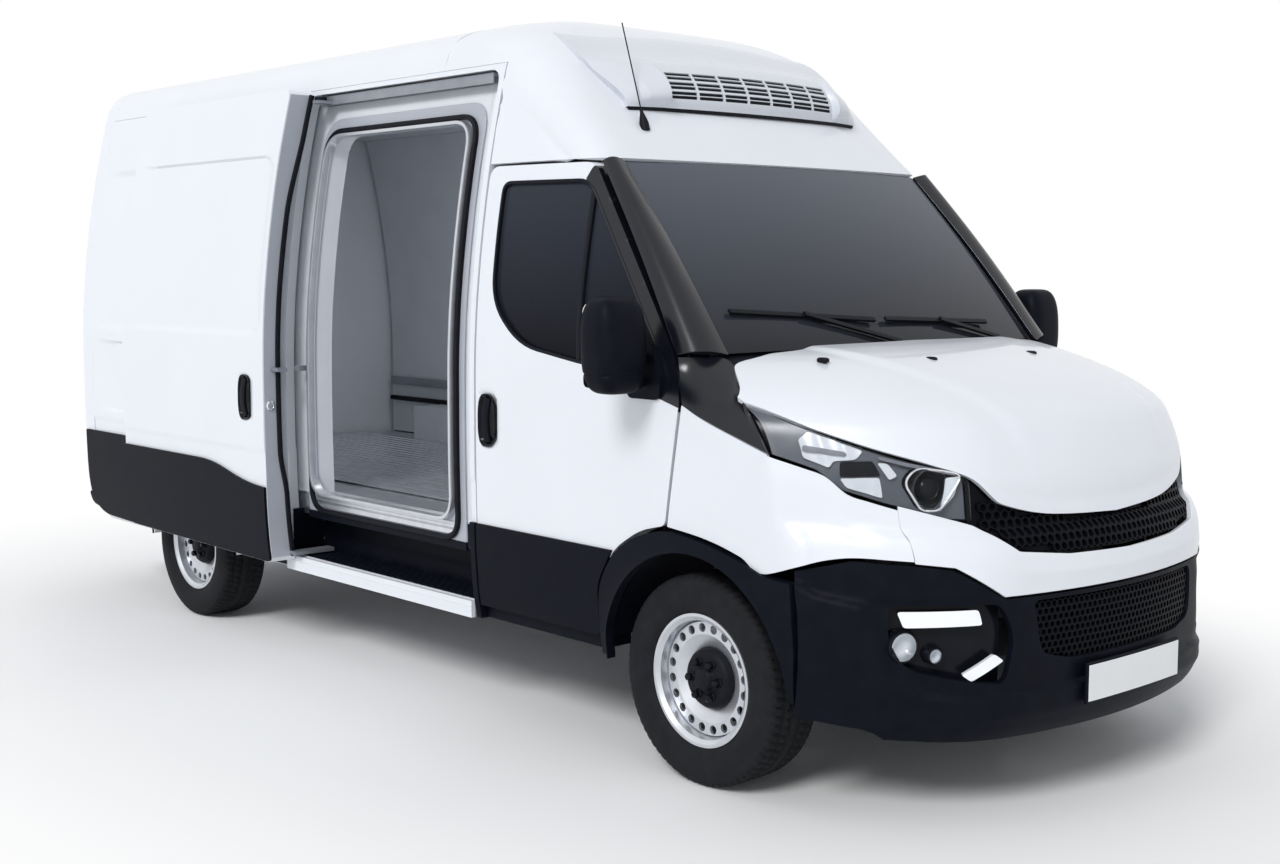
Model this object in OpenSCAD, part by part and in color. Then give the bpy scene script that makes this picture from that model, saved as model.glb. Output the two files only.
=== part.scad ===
// Refrigerated panel van with its right side door standing open
// X points ahead, Y to the left, Z up; Z = 0 is the ground and X = 0 is midway along the length

/* [Whole vehicle] */
// Length from the front bumper to the rear door hinges
body_len = 5670; // [5610:10:5800]
// Width of the body at the waist
body_w = 2010; // [1990:2:2040]
// Height of the roof ridge above the ground
roof_h = 2660; // [2630:5:2720]
// Rear end of the body behind the rear axle
rear_overhang = 1120; // [1090:10:1150]
// Front bumper face ahead of the front axle
front_overhang = 1000; // [990:2:1010]
// Tyre centre plane inboard of the body side
wheel_in = 137; // [133:1:147]

/* [Wheels] */
// Outer radius of the tyre on the ground
tyre_r = 349; // [340:1:356]
// Width of the tyre
tyre_w = 225; // [205:1:235]
// Radius of the rim flange
rim_r = 220; // [214:1:226]
// Radius of the wheel spindles
spindle_r = 30; // [26:0.5:34]
// Running clearance of every pin in its bore
run_fit = 0.06; // [0.03:0.01:0.09]
// Radius of the steering pivot pins
kingpin_r = 14; // [11:0.5:16]
// Steering pivot inboard of the tyre centre plane
kingpin_in = 95; // [85:1:105]

/* [Panels] */
// Gap between panels that open
shut_gap = 8; // [7:0.5:10]
// Thickness of the cab doors
door_t = 70; // [50:1:80]
// Thickness of the outer side wall
wall_t = 66; // [50:1:68]
// Thickness of the rear doors
rear_door_t = 78; // [60:1:84]
// Thickness of the roof shell
roof_t = 46; // [30:1:56]
// Thickness of the bonnet
bonnet_t = 24; // [16:1:30]
// Thickness of wings and bumper skins
skin_t = 18; // [12:1:22]
// Thickness of the window glass
glass_t = 5; // [4:0.5:8]
// How far the black cladding stands off the painted side
clad_t = 9; // [5:0.5:14]

/* [Load space] */
// Height of the load floor above the ground
load_floor_z = 705; // [690:1:720]
// Thickness of the insulated walls
liner_t = 80; // [50:1:100]
// Width of the insulated side doorway
doorway_w = 1030; // [900:5:1040]
// Top of the insulated side doorway
doorway_top = 2240; // [2100:5:2250]
// How far the open side door stands off the body side
slide_off = 30; // [20:1:45]
// Thickness of the side door
slide_t = 115; // [90:1:120]
// Width of the side door
slide_w = 1372; // [1330:2:1380]

/* [Front details] */
// Columns of louvre slots on the cooling unit
louvre_cols = 7; // [4:1:9]
// Rows of louvre slots on the cooling unit
louvre_rows = 3; // [2:1:4]
// Air holes in each row of the upper grille
grille_holes = 15; // [9:2:17]
// Hand holes around each wheel disc
disc_holes = 20; // [12:1:22]
// Wheel nuts on each wheel
nuts = 6; // [5:1:6]

/* [Hidden] */
axle_f = body_len / 2 - front_overhang;
rear_x = -body_len / 2 + 30;
b_post = axle_f - 1158;
// Share of the drawn length behind the cab
kx = (b_post - rear_x) / 3482;
axle_r = rear_x + rear_overhang * kx;
half = body_w / 2;
wheel_y = half - wheel_in;
kp_y = wheel_y - kingpin_in;
wide = half - 1005;
// Share of the drawn width, and of the drawn height above the waist
kw = body_w / 2010;
kz = (roof_h - 1000) / 1660;
eps = 0.5;
// Body section: height and half width
body_form = [
  [360, 968], [480, 988], [700, 1001], [1000, 1005], [1300, 1003], [1500, 994], [1700, 975],
  [1900, 948], [2100, 914], [2300, 871], [2440, 837], [2500, 818], [2545, 790],
  [2580, 745], [2605, 680], [2630, 560], [2648, 400], [2658, 200],
  [2660, 0]
];
body_rows = [for (r = body_form) [up(r[0]), r[1] * kw]];
roof_split = up(2440);
// Front form on the centre line: height and distance ahead of the front axle
nose_rows = [
  [245, 930], [300, 970], [340, 985], [414, 995], [520, 1000], [640, 996], [708, 985], [817, 972],
  [880, 946], [912, 915], [1035, 898], [1096, 880], [1154, 856], [1205, 827], [1241, 785], [1275, 722],
  [1310, 638], [1338, 553], [1363, 466], [1385, 377], [1403, 286], [1415, 194], [1422, 60]
];
// Screen and roof nose: height, distance ahead of the front axle, bow at 0.8 m, corner length
dome_rows = [
  [2062, -516, 52, 120], [2170, -612, 75, 150], [2274, -708, 95, 170], [2380, -808, 105, 190],
  [2470, -900, 110, 210], [2545, -1000, 110, 220], [2600, -1110, 105, 220],
  [2635, -1230, 80, 130], [2652, -1340, 40, 60], [2659, -1440, 10, 30]
];
// Bonnet, lamp, grille and bumper edges across the nose: half breadth and height
bonnet_low = [[0, 912], [300, 928], [507, 972], [600, 1060], [800, 1160], [985, 1270]];
lamp_low = [[600, 925], [800, 985], [888, 1051], [1000, 1115]];
panel_top = [[0, 807], [300, 815], [495, 837], [600, 915], [780, 976]];
panel_low = [[0, 705], [555, 705], [690, 798], [780, 810]];
bumper_top = [[0, 697], [560, 697], [694, 790], [780, 802], [900, 812], [1000, 775]];
bumper_low = [[0, 262], [600, 262], [900, 300], [1000, 310]];

paint = [0.93, 0.94, 0.96];
black = [0.13, 0.14, 0.17];
steel = [0.45, 0.46, 0.48];
silver = [0.76, 0.77, 0.79];
glass = [0.2, 0.22, 0.26];
lining = [0.85, 0.87, 0.88];

function ahead(d) = axle_f + d;
function mid(d) = axle_f - d * (axle_f - axle_r) / 3520;
function up(z) = z < 1000 ? z : 1000 + (z - 1000) * kz;
function fit(p) = [p[0], p[1] * kw, up(p[2])];
function rise(rows) = [for (p = rows) [p[0], up(p[1]), len(p) > 2 ? p[2] * min(1, kz) : 0]];
function half_n(z) = lookup(z, body_form);
function half_w(z) = lookup(z, body_rows);
function nose(z) = lookup(z, nose_rows) + front_overhang - 1000;
function drop(y) = y * y / 3800 + 0.00109 * pow(max(0, abs(y) - 500), 2);
function span(a, b, n) = [for (i = [0:n]) a + (b - a) * i / n];
function corner(a, b, c, r, n) = let (u = (a - b) / norm(a - b), v = (c - b) / norm(c - b), p = b + u * r,
  q = b + v * r) r <= 0 ? [b] : [for (i = [0:n]) let (s = i / n) (1 - s) * (1 - s) * p + 2 * s * (1 - s) * b + s * s * q];
function xy(p) = [p[0], p[1]];
function smooth(p, n = 5) = [for (i = [0:len(p) - 1]) let (k = len(p))
  each corner(xy(p[(i + k - 1) % k]), xy(p[i]), xy(p[(i + 1) % k]), len(p[i]) > 2 ? p[i][2] : 0, n)];
function flip_y(rows) = [for (r = rows) [for (p = r) [p[0], -p[1], p[2]]]];
function strip(s, z0, z1, in0, in1, n = 13) = concat(
  [for (z = span(z0, z1, n)) [s * (half_w(z) - in0), z]],
  [for (z = span(z1, z0, n)) [s * (half_w(z) - in1), z]]);
function cap(z0, inset) = concat(
  [[-(half_w(z0) - inset), z0]],
  [for (r = body_rows) if (r[0] > z0 && r[1] > 0) [-(r[1] - inset * r[1] / (840 * kw)), r[0] - inset * (1 - r[1] / (1100 * kw))]],
  [[0, roof_h - inset]],
  [for (i = [len(body_rows) - 1:-1:0]) let (r = body_rows[i])
    if (r[0] > z0 && r[1] > 0) [r[1] - inset * r[1] / (840 * kw), r[0] - inset * (1 - r[1] / (1100 * kw))]],
  [[half_w(z0) - inset, z0]]);

module along_x(x0, x1) {
  translate([x0, 0, 0]) rotate([90, 0, 90]) linear_extrude(x1 - x0) children();
}
module along_y(y0, y1) {
  translate([0, y1, 0]) rotate([90, 0, 0]) linear_extrude(y1 - y0) children();
}
module both() {
  children();
  mirror([0, 1, 0]) children();
}
module wall(s, x0, x1, z0, z1, in0, in1) {
  along_x(x0, x1) polygon(strip(s, z0, z1, in0, in1));
}
module slab(a, b) {
  block(fit(a), fit(b));
}
module block(a, b) {
  translate(a) cube(b - a);
}
module rod_y(x, z, r, y0, y1) {
  translate([x, y0, z]) rotate([-90, 0, 0]) cylinder(r = r, h = y1 - y0, $fn = 64);
}
module rod_x(y, z, r, x0, x1) {
  translate([x0, y, z]) rotate([0, 90, 0]) cylinder(r = r, h = x1 - x0, $fn = 64);
}
// Closed shell between an outer and an inner grid of points
module patch(o, i) {
  nr = len(o);
  nc = len(o[0]);
  k = nr * nc;
  pts = [for (r = concat(o, i), p = r) fit(p)];
  skin = [for (r = [0:nr - 2], c = [0:nc - 2]) let (a = r * nc + c)
    each [[a, a + nc + 1, a + 1], [a, a + nc, a + nc + 1]]];
  back = [for (f = skin) [f[2] + k, f[1] + k, f[0] + k]];
  ends = [for (c = [0:nc - 2]) each [[c + 1, c + k, c], [c + 1, c + 1 + k, c + k]]];
  tops = [for (c = [0:nc - 2]) let (a = (nr - 1) * nc + c) each [[a, a + 1 + k, a + 1], [a, a + k, a + 1 + k]]];
  left = [for (r = [0:nr - 2]) let (a = r * nc) each [[a, a + nc + k, a + nc], [a, a + k, a + nc + k]]];
  right = [for (r = [0:nr - 2]) let (a = r * nc + nc - 1) each [[a + nc, a + k, a], [a + nc, a + nc + k, a + k]]];
  polyhedron(pts, concat(skin, back, ends, tops, left, right));
}
// Skin on the front form between two edge curves across the nose
function nose_grid(ys, low, top, n, dx, dz) = [for (v = span(0, 1, n)) [for (y = ys)
  let (a = abs(y), z = lookup(a, low) + (lookup(a, top) - lookup(a, low)) * v)
  [ahead(nose(z) - drop(y) - dx), y * (1 - 0.35 * dx / 1000), z - dz * v]]];
module nose_skin(ys, low, top, n, in0, t) {
  patch(nose_grid(ys, low, top, n, in0, 0), nose_grid(ys, low, top, n, in0 + t, 0));
}
function mirrored(ys) = concat([for (i = [len(ys) - 1:-1:1]) -ys[i]], ys);
function shifted(rows, d) = [for (r = rows) [r[0], r[1] + d]];

// Running gear
module chassis_frame() color(steel) {
  both() block([rear_x + 130, 395 * kw, 490], [ahead(800), 465 * kw, 600]);
  for (x = [ahead(760), ahead(-540), mid(1400), mid(2250), mid(2950), rear_x + 490]) block([x, -400 * kw, 500], [x + 45, 400 * kw, 590]);
  difference() {
    block([rear_x + 118, -400 * kw, 440], [rear_x + 150, 400 * kw, 590]);
    for (y = [-100, 100], z = [475, 555]) rod_x(y, z, 8.5, rear_x + 100, rear_x + 170);
  }
}
module engine_block() color(steel) {
  difference() {
    union() {
      block([ahead(110), -270, 360], [ahead(700), 270, 1000]);
      block([ahead(-470), -160, 360], [ahead(111), 160, 630]);
    }
    rod_y(ahead(400), 1000, 60, -300, 300);
  }
}
module fuel_tank() color(black) {
  along_x(mid(2120), mid(1350)) polygon(smooth([[500 * kw, 320, 60], [860 * kw, 320, 60], [860 * kw, 585, 50], [500 * kw, 585, 50]]));
}
module exhaust() color(steel) {
  rod_x(-255 * kw, 370, 28, mid(1710), mid(520));
  rod_x(-255 * kw, 370, 105, mid(2300), mid(1700));
  rod_x(-255 * kw, 370, 28, mid(2720) - 15, mid(2290));
  difference() {
    rod_y(mid(2720), 370, 28, 205 - half, -227 * kw);
    rod_y(mid(2720), 370, 24, 195 - half, -500);
  }
}
module propshaft() color(steel) {
  rod_x(0, tyre_r + 60, 38, mid(1980), ahead(-475));
  rod_x(0, tyre_r + 60, 62, mid(2060), mid(1980));
  rod_x(0, tyre_r + 60, 38, axle_r + 176, mid(2060));
}
module rear_axle() color(steel) {
  rod_y(axle_r, tyre_r, 52, 178 - wheel_y, wheel_y - 178);
  translate([axle_r, 0, tyre_r]) sphere(r = 140, $fn = 48);
  rod_x(0, tyre_r + 60, 60, axle_r, axle_r + 175);
  both() {
    rod_y(axle_r, tyre_r, spindle_r, wheel_y - 188, wheel_y + 52);
    rod_y(axle_r, tyre_r, 150, wheel_y - 152, wheel_y - 120);
  }
}
module leaf_springs() color(steel) {
  stack = [[1, 13], [0.72, 13], [0.7, 26], [0.46, 26], [0.44, 39], [0, 39]];
  ends = [-1, -0.72, -0.7, -0.46, -0.44, -0.2, 0, 0.2, 0.44, 0.46, 0.7, 0.72, 1];
  both() along_y(525 * kw, 595 * kw) polygon(concat(
    [for (s = ends) [axle_r + 650 * s, tyre_r + 92 + 60 * s * s]],
    [for (i = [len(ends) - 1:-1:0]) let (s = ends[i])
      [axle_r + 650 * s, tyre_r + 92 + 60 * s * s - lookup(1 - abs(s), [for (r = stack) [1 - r[0], r[1]]])]]));
  both() for (d = [-640, 640]) difference() {
    block([axle_r + d - 25, 466 * kw, 485], [axle_r + d + 25, 596 * kw, 545]);
    rod_y(axle_r + d, 520, 12, 460 * kw, 600 * kw);
  }
}
module front_suspension() color(steel) {
  block([ahead(-80), -440 * kw, 210], [ahead(80), 440 * kw, 300]);
  both() {
    difference() {
      union() {
        block([ahead(-34), 436 * kw, tyre_r - 164], [ahead(34), kp_y, tyre_r - 136]);
        translate([axle_f, kp_y, tyre_r - 164]) cylinder(r = 34, h = 28, $fn = 64);
      }
      translate([axle_f, kp_y, tyre_r - 170]) cylinder(r = kingpin_r + run_fit, h = 50, $fn = 64);
    }
    difference() {
      union() {
        block([ahead(-30), 466 * kw, tyre_r + 136], [ahead(30), kp_y, tyre_r + 160]);
        translate([axle_f, kp_y, tyre_r + 136]) cylinder(r = 30, h = 24, $fn = 64);
      }
      translate([axle_f, kp_y, tyre_r + 130]) cylinder(r = kingpin_r + run_fit, h = 50, $fn = 64);
    }
  }
}
module knuckle(s) color(steel) {
  translate([axle_f, s * kp_y, 0]) {
    translate([0, 0, tyre_r - 130]) cylinder(r = 24, h = 260, $fn = 64);
    translate([0, 0, tyre_r - 168]) cylinder(r = kingpin_r, h = 332, $fn = 64);
  }
  rod_y(axle_f, tyre_r, spindle_r, s > 0 ? kp_y : -wheel_y - 52, s > 0 ? wheel_y + 52 : -kp_y);
  translate([ahead(-130), s * (kp_y + 4) - 12, tyre_r - 60]) cube([130, 24, 30]);
}
module knuckle_left() knuckle(1);
module knuckle_right() knuckle(-1);

// Wheels: revolved tyre and pressed disc with hand holes
module tyre(x, s) color(black) translate([x, s * wheel_y, tyre_r]) rotate([90, 0, 0])
  rotate_extrude($fn = 96) polygon(smooth([
    [rim_r - 6, -tyre_w * 0.36, 0], [rim_r + 20, -tyre_w * 0.46, 12], [tyre_r - 70, -tyre_w / 2, 20],
    [tyre_r - 8, -tyre_w * 0.44, 16], [tyre_r, -tyre_w * 0.26, 10], [tyre_r, tyre_w * 0.26, 10],
    [tyre_r - 8, tyre_w * 0.44, 16], [tyre_r - 70, tyre_w / 2, 20], [rim_r + 20, tyre_w * 0.46, 12],
    [rim_r - 6, tyre_w * 0.36, 0]], 3));
module rim(x, s) color(silver) translate([x, s * wheel_y, tyre_r]) rotate([s > 0 ? -90 : 90, 0, 0]) difference() {
  union() {
    rotate_extrude($fn = 96) polygon([[rim_r - 6.5, -88], [rim_r, -88], [rim_r, -94], [rim_r - 10, -94],
      [rim_r - 24, -80], [rim_r - 30, -20], [rim_r - 30, 40], [rim_r - 24, 84], [rim_r - 10, 94], [rim_r, 94],
      [rim_r, 88], [rim_r - 6.5, 88], [rim_r - 14, 76], [rim_r - 20, 36], [rim_r - 20, -24], [rim_r - 14, -76]]);
    rotate_extrude($fn = 96) polygon([[0, -40], [66, -40], [66, 18], [104, 20], [146, 46], [rim_r - 38, 46],
      [rim_r - 27, 24], [rim_r - 27, 36], [rim_r - 33, 56], [146, 56], [100, 30], [86, 30], [78, 62], [0, 62]]);
    for (k = [0:nuts - 1]) rotate(k * 360 / nuts) translate([62, 0, 60]) cylinder(r = 13, h = 26, $fn = 6);
  }
  for (k = [0:disc_holes - 1]) rotate((k + 0.5) * 360 / disc_holes) translate([168, 0, 0]) cylinder(r = 15, h = 80, $fn = 24);
  translate([0, 0, -60]) cylinder(r = spindle_r + run_fit, h = 114, $fn = 64);
}
module rim_front_left() rim(axle_f, 1);
module rim_front_right() rim(axle_f, -1);
module rim_rear_left() rim(axle_r, 1);
module rim_rear_right() rim(axle_r, -1);
module tyre_front_left() tyre(axle_f, 1);
module tyre_front_right() tyre(axle_f, -1);
module tyre_rear_left() tyre(axle_r, 1);
module tyre_rear_right() tyre(axle_r, -1);

// Cab structure
arch_r = tyre_r + 89;
module cab_floor() color(black) {
  block([ahead(-1150), 105 - half, 640], [ahead(-480), half - 105, 680]);
  block([ahead(-481), -520 * kw, 640], [ahead(-60), 520 * kw, 680]);
  block([ahead(-60), -520 * kw, 640], [ahead(-20), 520 * kw, up(1090)]);
  block([ahead(-60), 105 - half, 850], [ahead(-20), half - 105, up(1090)]);
  both() {
    block([ahead(-1150), half - 145, 372], [ahead(-470), half - 50, 412]);
    block([ahead(-1150), half - 165, 372], [ahead(-470), half - 144, 660]);
    block([ahead(-160), half - 127, 802], [ahead(-21), half - 55, 822]);
    block([ahead(-160), half - 56, 802], [ahead(-86), half - 15, 822]);
    translate([ahead(-150), half - 33, 820]) cylinder(r = 8, h = 46, $fn = 64);
    block([ahead(-60), half - 135, 800], [ahead(-22), half - 75, up(1090)]);
  }
}
module arch_liners() color(black) both() {
  difference() {
    rod_y(axle_f, tyre_r, arch_r + 8, 560 * kw, half - 49);
    rod_y(axle_f, tyre_r, arch_r, 550 * kw, half + 100);
    block([axle_f - 600, 500 * kw, -200], [axle_f + 600, half + 100, 420]);
  }
  difference() {
    rod_y(axle_r, tyre_r, arch_r + 2, wheel_y - 178, half - 101);
    rod_y(axle_r, tyre_r, arch_r - 6, wheel_y - 188, half + 100);
    block([axle_r - 600, wheel_y - 268, -200], [axle_r + 600, half + 100, 420]);
  }
}
function dome_w(z) = half_n(z) - (z < 2300 ? (2300 - z) * 0.16 : 0);
function dome_row(r, inset) = let (z = r[0], w = dome_w(z) - inset, c = r[3], b = r[2], f = ahead(r[1]) - inset,
  e = f - b * pow((w - c) / 800, 2), side = concat([[rear_of_dome - max(0, inset), half_n(z) - inset], [min(b_post, e - c * 1.3 - 45), half_n(z) - inset]],
    [for (i = [0:5]) let (s = i / 5) xy((1 - s) * (1 - s) * [e - c * 1.3 - 40, w] + 2 * s * (1 - s) * [e - 16, w] + s * s * [e, w - c])]))
  concat([for (p = side) [p[0], -p[1], z]],
    [for (y = span(-(w - c), w - c, 8)) if (abs(y) < w - c - 1) [f - b * pow(y / 800, 2), y, z]],
    [for (i = [len(side) - 1:-1:0]) [side[i][0], side[i][1], z]]);
rear_of_dome = ahead(-1560);
module dome(inset, lift) {
  rows = [for (i = [0:len(dome_rows) - 1]) [for (p = dome_row(dome_rows[i], inset)) [p[0], p[1], p[2] - lift * (i == 0 ? 0.5 : i / (len(dome_rows) - 1))]]];
  nr = len(rows);
  nc = len(rows[0]);
  walls = [for (r = [0:nr - 2], c = [0:nc - 1]) let (a = r * nc + c, b = r * nc + (c + 1) % nc)
    each [[a, b + nc, b], [a, a + nc, b + nc]]];
  mid = (nc - 1) / 2;
  base = [for (c = [0:mid - 1]) each concat([[c, nc - 2 - c, nc - 1 - c]], c < mid - 1 ? [[c, c + 1, nc - 2 - c]] : [])];
  lid = [for (f = base) [for (k = [2, 1, 0]) f[k] + (nr - 1) * nc]];
  polyhedron([for (r = rows, p = r) fit(p)], concat(walls, base, lid));
}
module cab_roof() color(paint) {
  difference() {
    dome(0, 0);
    dome(roof_t, roof_t);
    block([rear_of_dome - 10, -1300, up(2000)], [b_post + 4, 1300, roof_split + 1]);
    slab([rear_of_dome - 10, -700, 2000], [rear_of_dome + 30, 700, 2560]);
  }
  difference() {
    translate(fit([ahead(-665), -600, 2185])) rotate([0, -18, 0]) {
      cylinder(r = 16, h = 60, $fn = 24);
      cylinder(r = 3.5, h = 400, $fn = 12);
    }
    dome(-1, -1);
  }
}
// Bonnet hinge pins: half breadth and height
lid_y = 665 * kw;
lid_z = up(1410);
// Screen edge and side edge of the front pillar, low and high
screen_low = [ahead(14), 848, 1404];
screen_top = [ahead(-556), 788, 2050];
pillar_low = [ahead(-88), 984, 1404];
pillar_top = [ahead(-585), 872, 2050];
function screen_x(y, v) = ahead(40 - 556 * v) - 46 * pow(y / 800, 2);
function screen_z(v) = 1412 + 642 * v;
function screen_grid(d) = [for (v = [0, 0.5, 1]) [for (u = span(-1, 1, 12)) let (y = u * (842 - 58 * v))
  [screen_x(y, v) - d * 0.75, y, screen_z(v) - 6 * u * u - d * 0.66]]];
module windscreen() color(glass) patch(screen_grid(0), screen_grid(glass_t));
module pillar_frame() color(black) {
  for (s = [1, -1]) {
    rows = [for (v = [0, 0.35, 0.7, 1]) let (a = screen_low * (1 - v) + screen_top * v,
      b = pillar_low * (1 - v) + pillar_top * v, m = (a + b) / 2 + [18, 10, 8])
      s < 0 ? [[b[0], -b[1], b[2]], [m[0], -m[1], m[2]], [a[0], -a[1], a[2]]] : [a, m, b]];
    set = s > 0 ? [[-20, 14, -16], [-24, -14, -22], [-2, -32, 0]] : [[-2, -32, 0], [-24, -14, -22], [-20, 14, -16]];
    back = [for (r = rows) [for (k = [0:2]) r[k] + [set[k][0], s * set[k][1], set[k][2]]]];
    patch(rows, back);
  }
  both() {
    o = [[[ahead(-38), 1002, 1240], [ahead(150), 1001, 1182], [ahead(334), 999, 1123]],
      [[ahead(-46), 994, 1320], [ahead(120), 988, 1240], [ahead(184), 992, 1238]],
      [[ahead(-78), 984, 1388], [ahead(-30), 944, 1382], [ahead(-8), 914, 1362]]];
    i = [for (r = o) [for (p = r) p - [4, 12, -2]]];
    patch([for (r = i) r], [for (r = o) r]);
  }
  slab([ahead(-60), -760, 1330], [ahead(30), 760, 1378]);
  slab([ahead(29), -600, 1330], [ahead(64), 600, 1378]);
  both() {
    rod_y(ahead(52), lid_z, 6, lid_y - 33, lid_y + 34);
    for (y = [lid_y - 33, lid_y + 20]) {
      block([ahead(16), y, lid_z - 40], [ahead(44), y + 14, lid_z - 10]);
      block([ahead(16), y, lid_z - 12], [ahead(60), y + 14, lid_z + 8]);
    }
  }
}
function on_screen(y, v, off) = [screen_x(y, v) + 0.75 * off, y, screen_z(v) - 6 * pow(y / (842 - 58 * v), 2) + 0.66 * off];
module bar(a, b, w, t) {
  e = [-0.66, 0, 0.75] * w / 2;
  d = [0.75, 0, 0.66] * t / 2;
  patch([[a - e + d, b - e + d], [a + e + d, b + e + d]], [[a - e - d, b - e - d], [a + e - d, b + e - d]]);
}
// Wipers: blade end y and height on the screen, other blade end, arm end, pivot y
wiper_rows = [[-748, 0.184, -100, 0.115, -430, 0.155, -19], [-40, 0.118, 560, 0.085, 270, 0.104, 600]];
module wipers() color(black) for (r = wiper_rows) {
  bar(on_screen(r[0], r[1], 22), on_screen(r[2], r[3], 22), 16, 10);
  bar(on_screen(r[4], r[5], 26), on_screen(r[6], 0, 16), 18, 9);
  translate(fit([ahead(46) - 46 * pow(r[6] / 800, 2), r[6], 1379])) cylinder(r = 4, h = 44, $fn = 32);
}

// Front end skins
wing_ys = [780, 840, 900, 950, 1000];
function wing_edge(i) = [[ahead(-110), 846, 1230], [ahead(46), 830, 1200], [ahead(224), 790, 1148], [ahead(330), 752, 1117]][i];
module front_wings() color(paint) both() {
  grid = [for (k = [0, skin_t]) [for (v = span(0, 1, 5)) concat(
    [for (i = [0:3]) let (e = wing_edge(i), z = e[1] + (e[2] - e[1]) * v) [e[0] + (i == 0 ? 66 * v : 0), half_n(z) - k, z]],
    [for (j = [4:-1:0]) let (y = wing_ys[j], lo = lookup(y, [[780, 816], [900, 826], [950, 812], [1000, 786]]),
      z = lo + (lookup(y, lamp_low) - 8 - lo) * v) [ahead(nose(z) - drop(y) - k * 0.8), y - k * 0.5, z]])]];
  patch(grid[1], grid[0]);
}
module front_panel() color(paint) nose_skin(mirrored([0, 250, 495, 555, 600, 640, 690, 768]), panel_low, panel_top, 4, 0, skin_t);
module grille() color(black) difference() {
  nose_skin(mirrored([0, 200, 400, 507, 590]), shifted(panel_top, 8), shifted(bonnet_low, -10), 3, 22, 16);
  for (r = [0, 1], k = [0:grille_holes - 1]) let (y = (k - (grille_holes - 1) / 2 + 0.5 * r) * 900 / grille_holes)
    if (abs(y) < 460) translate([ahead(700), y * kw, 846 + 34 * r + abs(y) * 0.05]) rotate([0, 90, 0]) cylinder(r = 17, h = 300, $fn = 6);
}
module front_bumper() color(black) difference() {
  nose_skin(mirrored([0, 220, 440, 560, 694, 780, 900, 960, 1000]), bumper_low, bumper_top, 6, 0, skin_t * 1.6);
  along_x(ahead(700), ahead(1100)) polygon(smooth([[-400 * kw, 500, 40], [400 * kw, 500, 40], [470 * kw, 680, 30], [-470 * kw, 680, 30]]));
  both() translate([ahead(500), 800 * kw, 560]) rotate([0, 90, 0]) cylinder(r = 60, h = 400, $fn = 48);
}
module front_lamps() color(silver) {
  both() {
    grid = [for (k = [4, 64]) [for (v = span(0, 1, 4)) [for (y = [606, 660, 720, 800, 888, 940, 970])
      let (lo = lookup(y, lamp_low) + 8, hi = lookup(y, bonnet_low) - 10, z = lo + (hi - lo) * v)
      [ahead(nose(z) - drop(y) - k), y - k * 0.35, z]]]];
    patch(grid[0], grid[1]);
    rod_x(800 * kw, 560, 52, ahead(610), ahead(680));
    translate([ahead(676), 800 * kw, 560]) rotate([0, 90, 0]) cylinder(r1 = 52, r2 = 40, h = 14, $fn = 48);
  }
}

// Side door opening in the outer wall, and the front edge of the open door
open_x0 = axle_r + 953 * kx;
open_x1 = ahead(-1190);
open_top = up(2418);
open_fit = (open_x1 - open_x0) / 1377;
slide_front = open_x0 + 93;
// Cladding on sills, arches and rear quarters
module cladding() color(black) {
  both() difference() {
    along_y(960 + wide, half + 12) polygon(smooth([[ahead(-452), 365], [ahead(-452), 600, 40], [ahead(-372), 730, 60],
      [ahead(-240), 806, 60], [ahead(-110), 836, 60], [ahead(46), 820, 60], [ahead(224), 780, 60], [ahead(330), 740, 30],
      [ahead(416), 740], [ahead(408), 365]]));
    rod_y(axle_f, tyre_r, arch_r - 14, half - 105, half + 95);
    block([axle_f - arch_r + 14, half - 105, 0], [axle_f + arch_r - 14, half + 95, tyre_r]);
    block([ahead(-200), half - 65, 700], [ahead(-80), half - 8, 900]);
  }
  for (s = [1, -1]) difference() {
    intersection() {
      wall(s, rear_x + 26, s > 0 ? b_post - 4 : open_x0, 372, 830, -clad_t, -eps);
      along_y(-1300, 1300) polygon(smooth([[rear_x + 26, 470, 40], [rear_x + 130, 375, 80], [b_post, 375], [b_post, 735],
        [axle_r + 862 * kx, 740, 120], [axle_r + 562 * kx, 830, 120], [rear_x + 26, 830]]));
    }
    rod_y(axle_r, tyre_r, arch_r - 16, -1300, 1300);
  }
}
module side_body(s) {
  difference() {
    wall(s, rear_x + 110, b_post - 4, 368, roof_split - 1, 0, wall_t);
    rod_y(axle_r, tyre_r, arch_r - 14, -1300, 1300);
    block([axle_r - arch_r + 14, -1200, 0], [axle_r + arch_r - 14, 1200, tyre_r]);
  }
}
module side_panel_left() color(paint) side_body(1);
module side_panel_right() color(paint) difference() {
  side_body(-1);
  along_y(-1300, -400) polygon(smooth([[open_x0, 300], [open_x1, 300], [open_x1, open_top, 60], [open_x0, open_top, 60]]));
}
module load_roof() color(paint) along_x(rear_x + 110, rear_of_dome - 1) difference() {
  polygon(cap(roof_split, 0));
  translate([0, -0.01]) polygon(cap(roof_split, roof_t));
}
module load_floor() color(steel) difference() {
  block([rear_x + 112, 90 - half, 606], [ahead(-1192), half - 90, load_floor_z - 5]);
  both() block([axle_r - arch_r - 12, wheel_y - 188, 500], [axle_r + arch_r + 12, half + 100, 760]);
}
inner_in = wall_t + 4;
liner_x0 = rear_x + 116;
liner_x1 = ahead(-1306);
door_x1 = open_x1 - 185 * open_fit;
door_x0 = door_x1 - doorway_w * open_fit;
module liner_right() color(lining) {
  difference() {
    wall(-1, liner_x0, liner_x1, load_floor_z + 1, roof_split - 30, inner_in, inner_in + liner_t);
    rod_y(axle_r, tyre_r, arch_r + 20, -1300, -600);
    along_y(-1300, -500) polygon(smooth([[door_x0, 690], [door_x1, 690],
      [door_x1, up(doorway_top), 90], [door_x0, up(doorway_top), 90]]));
  }
}
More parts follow.
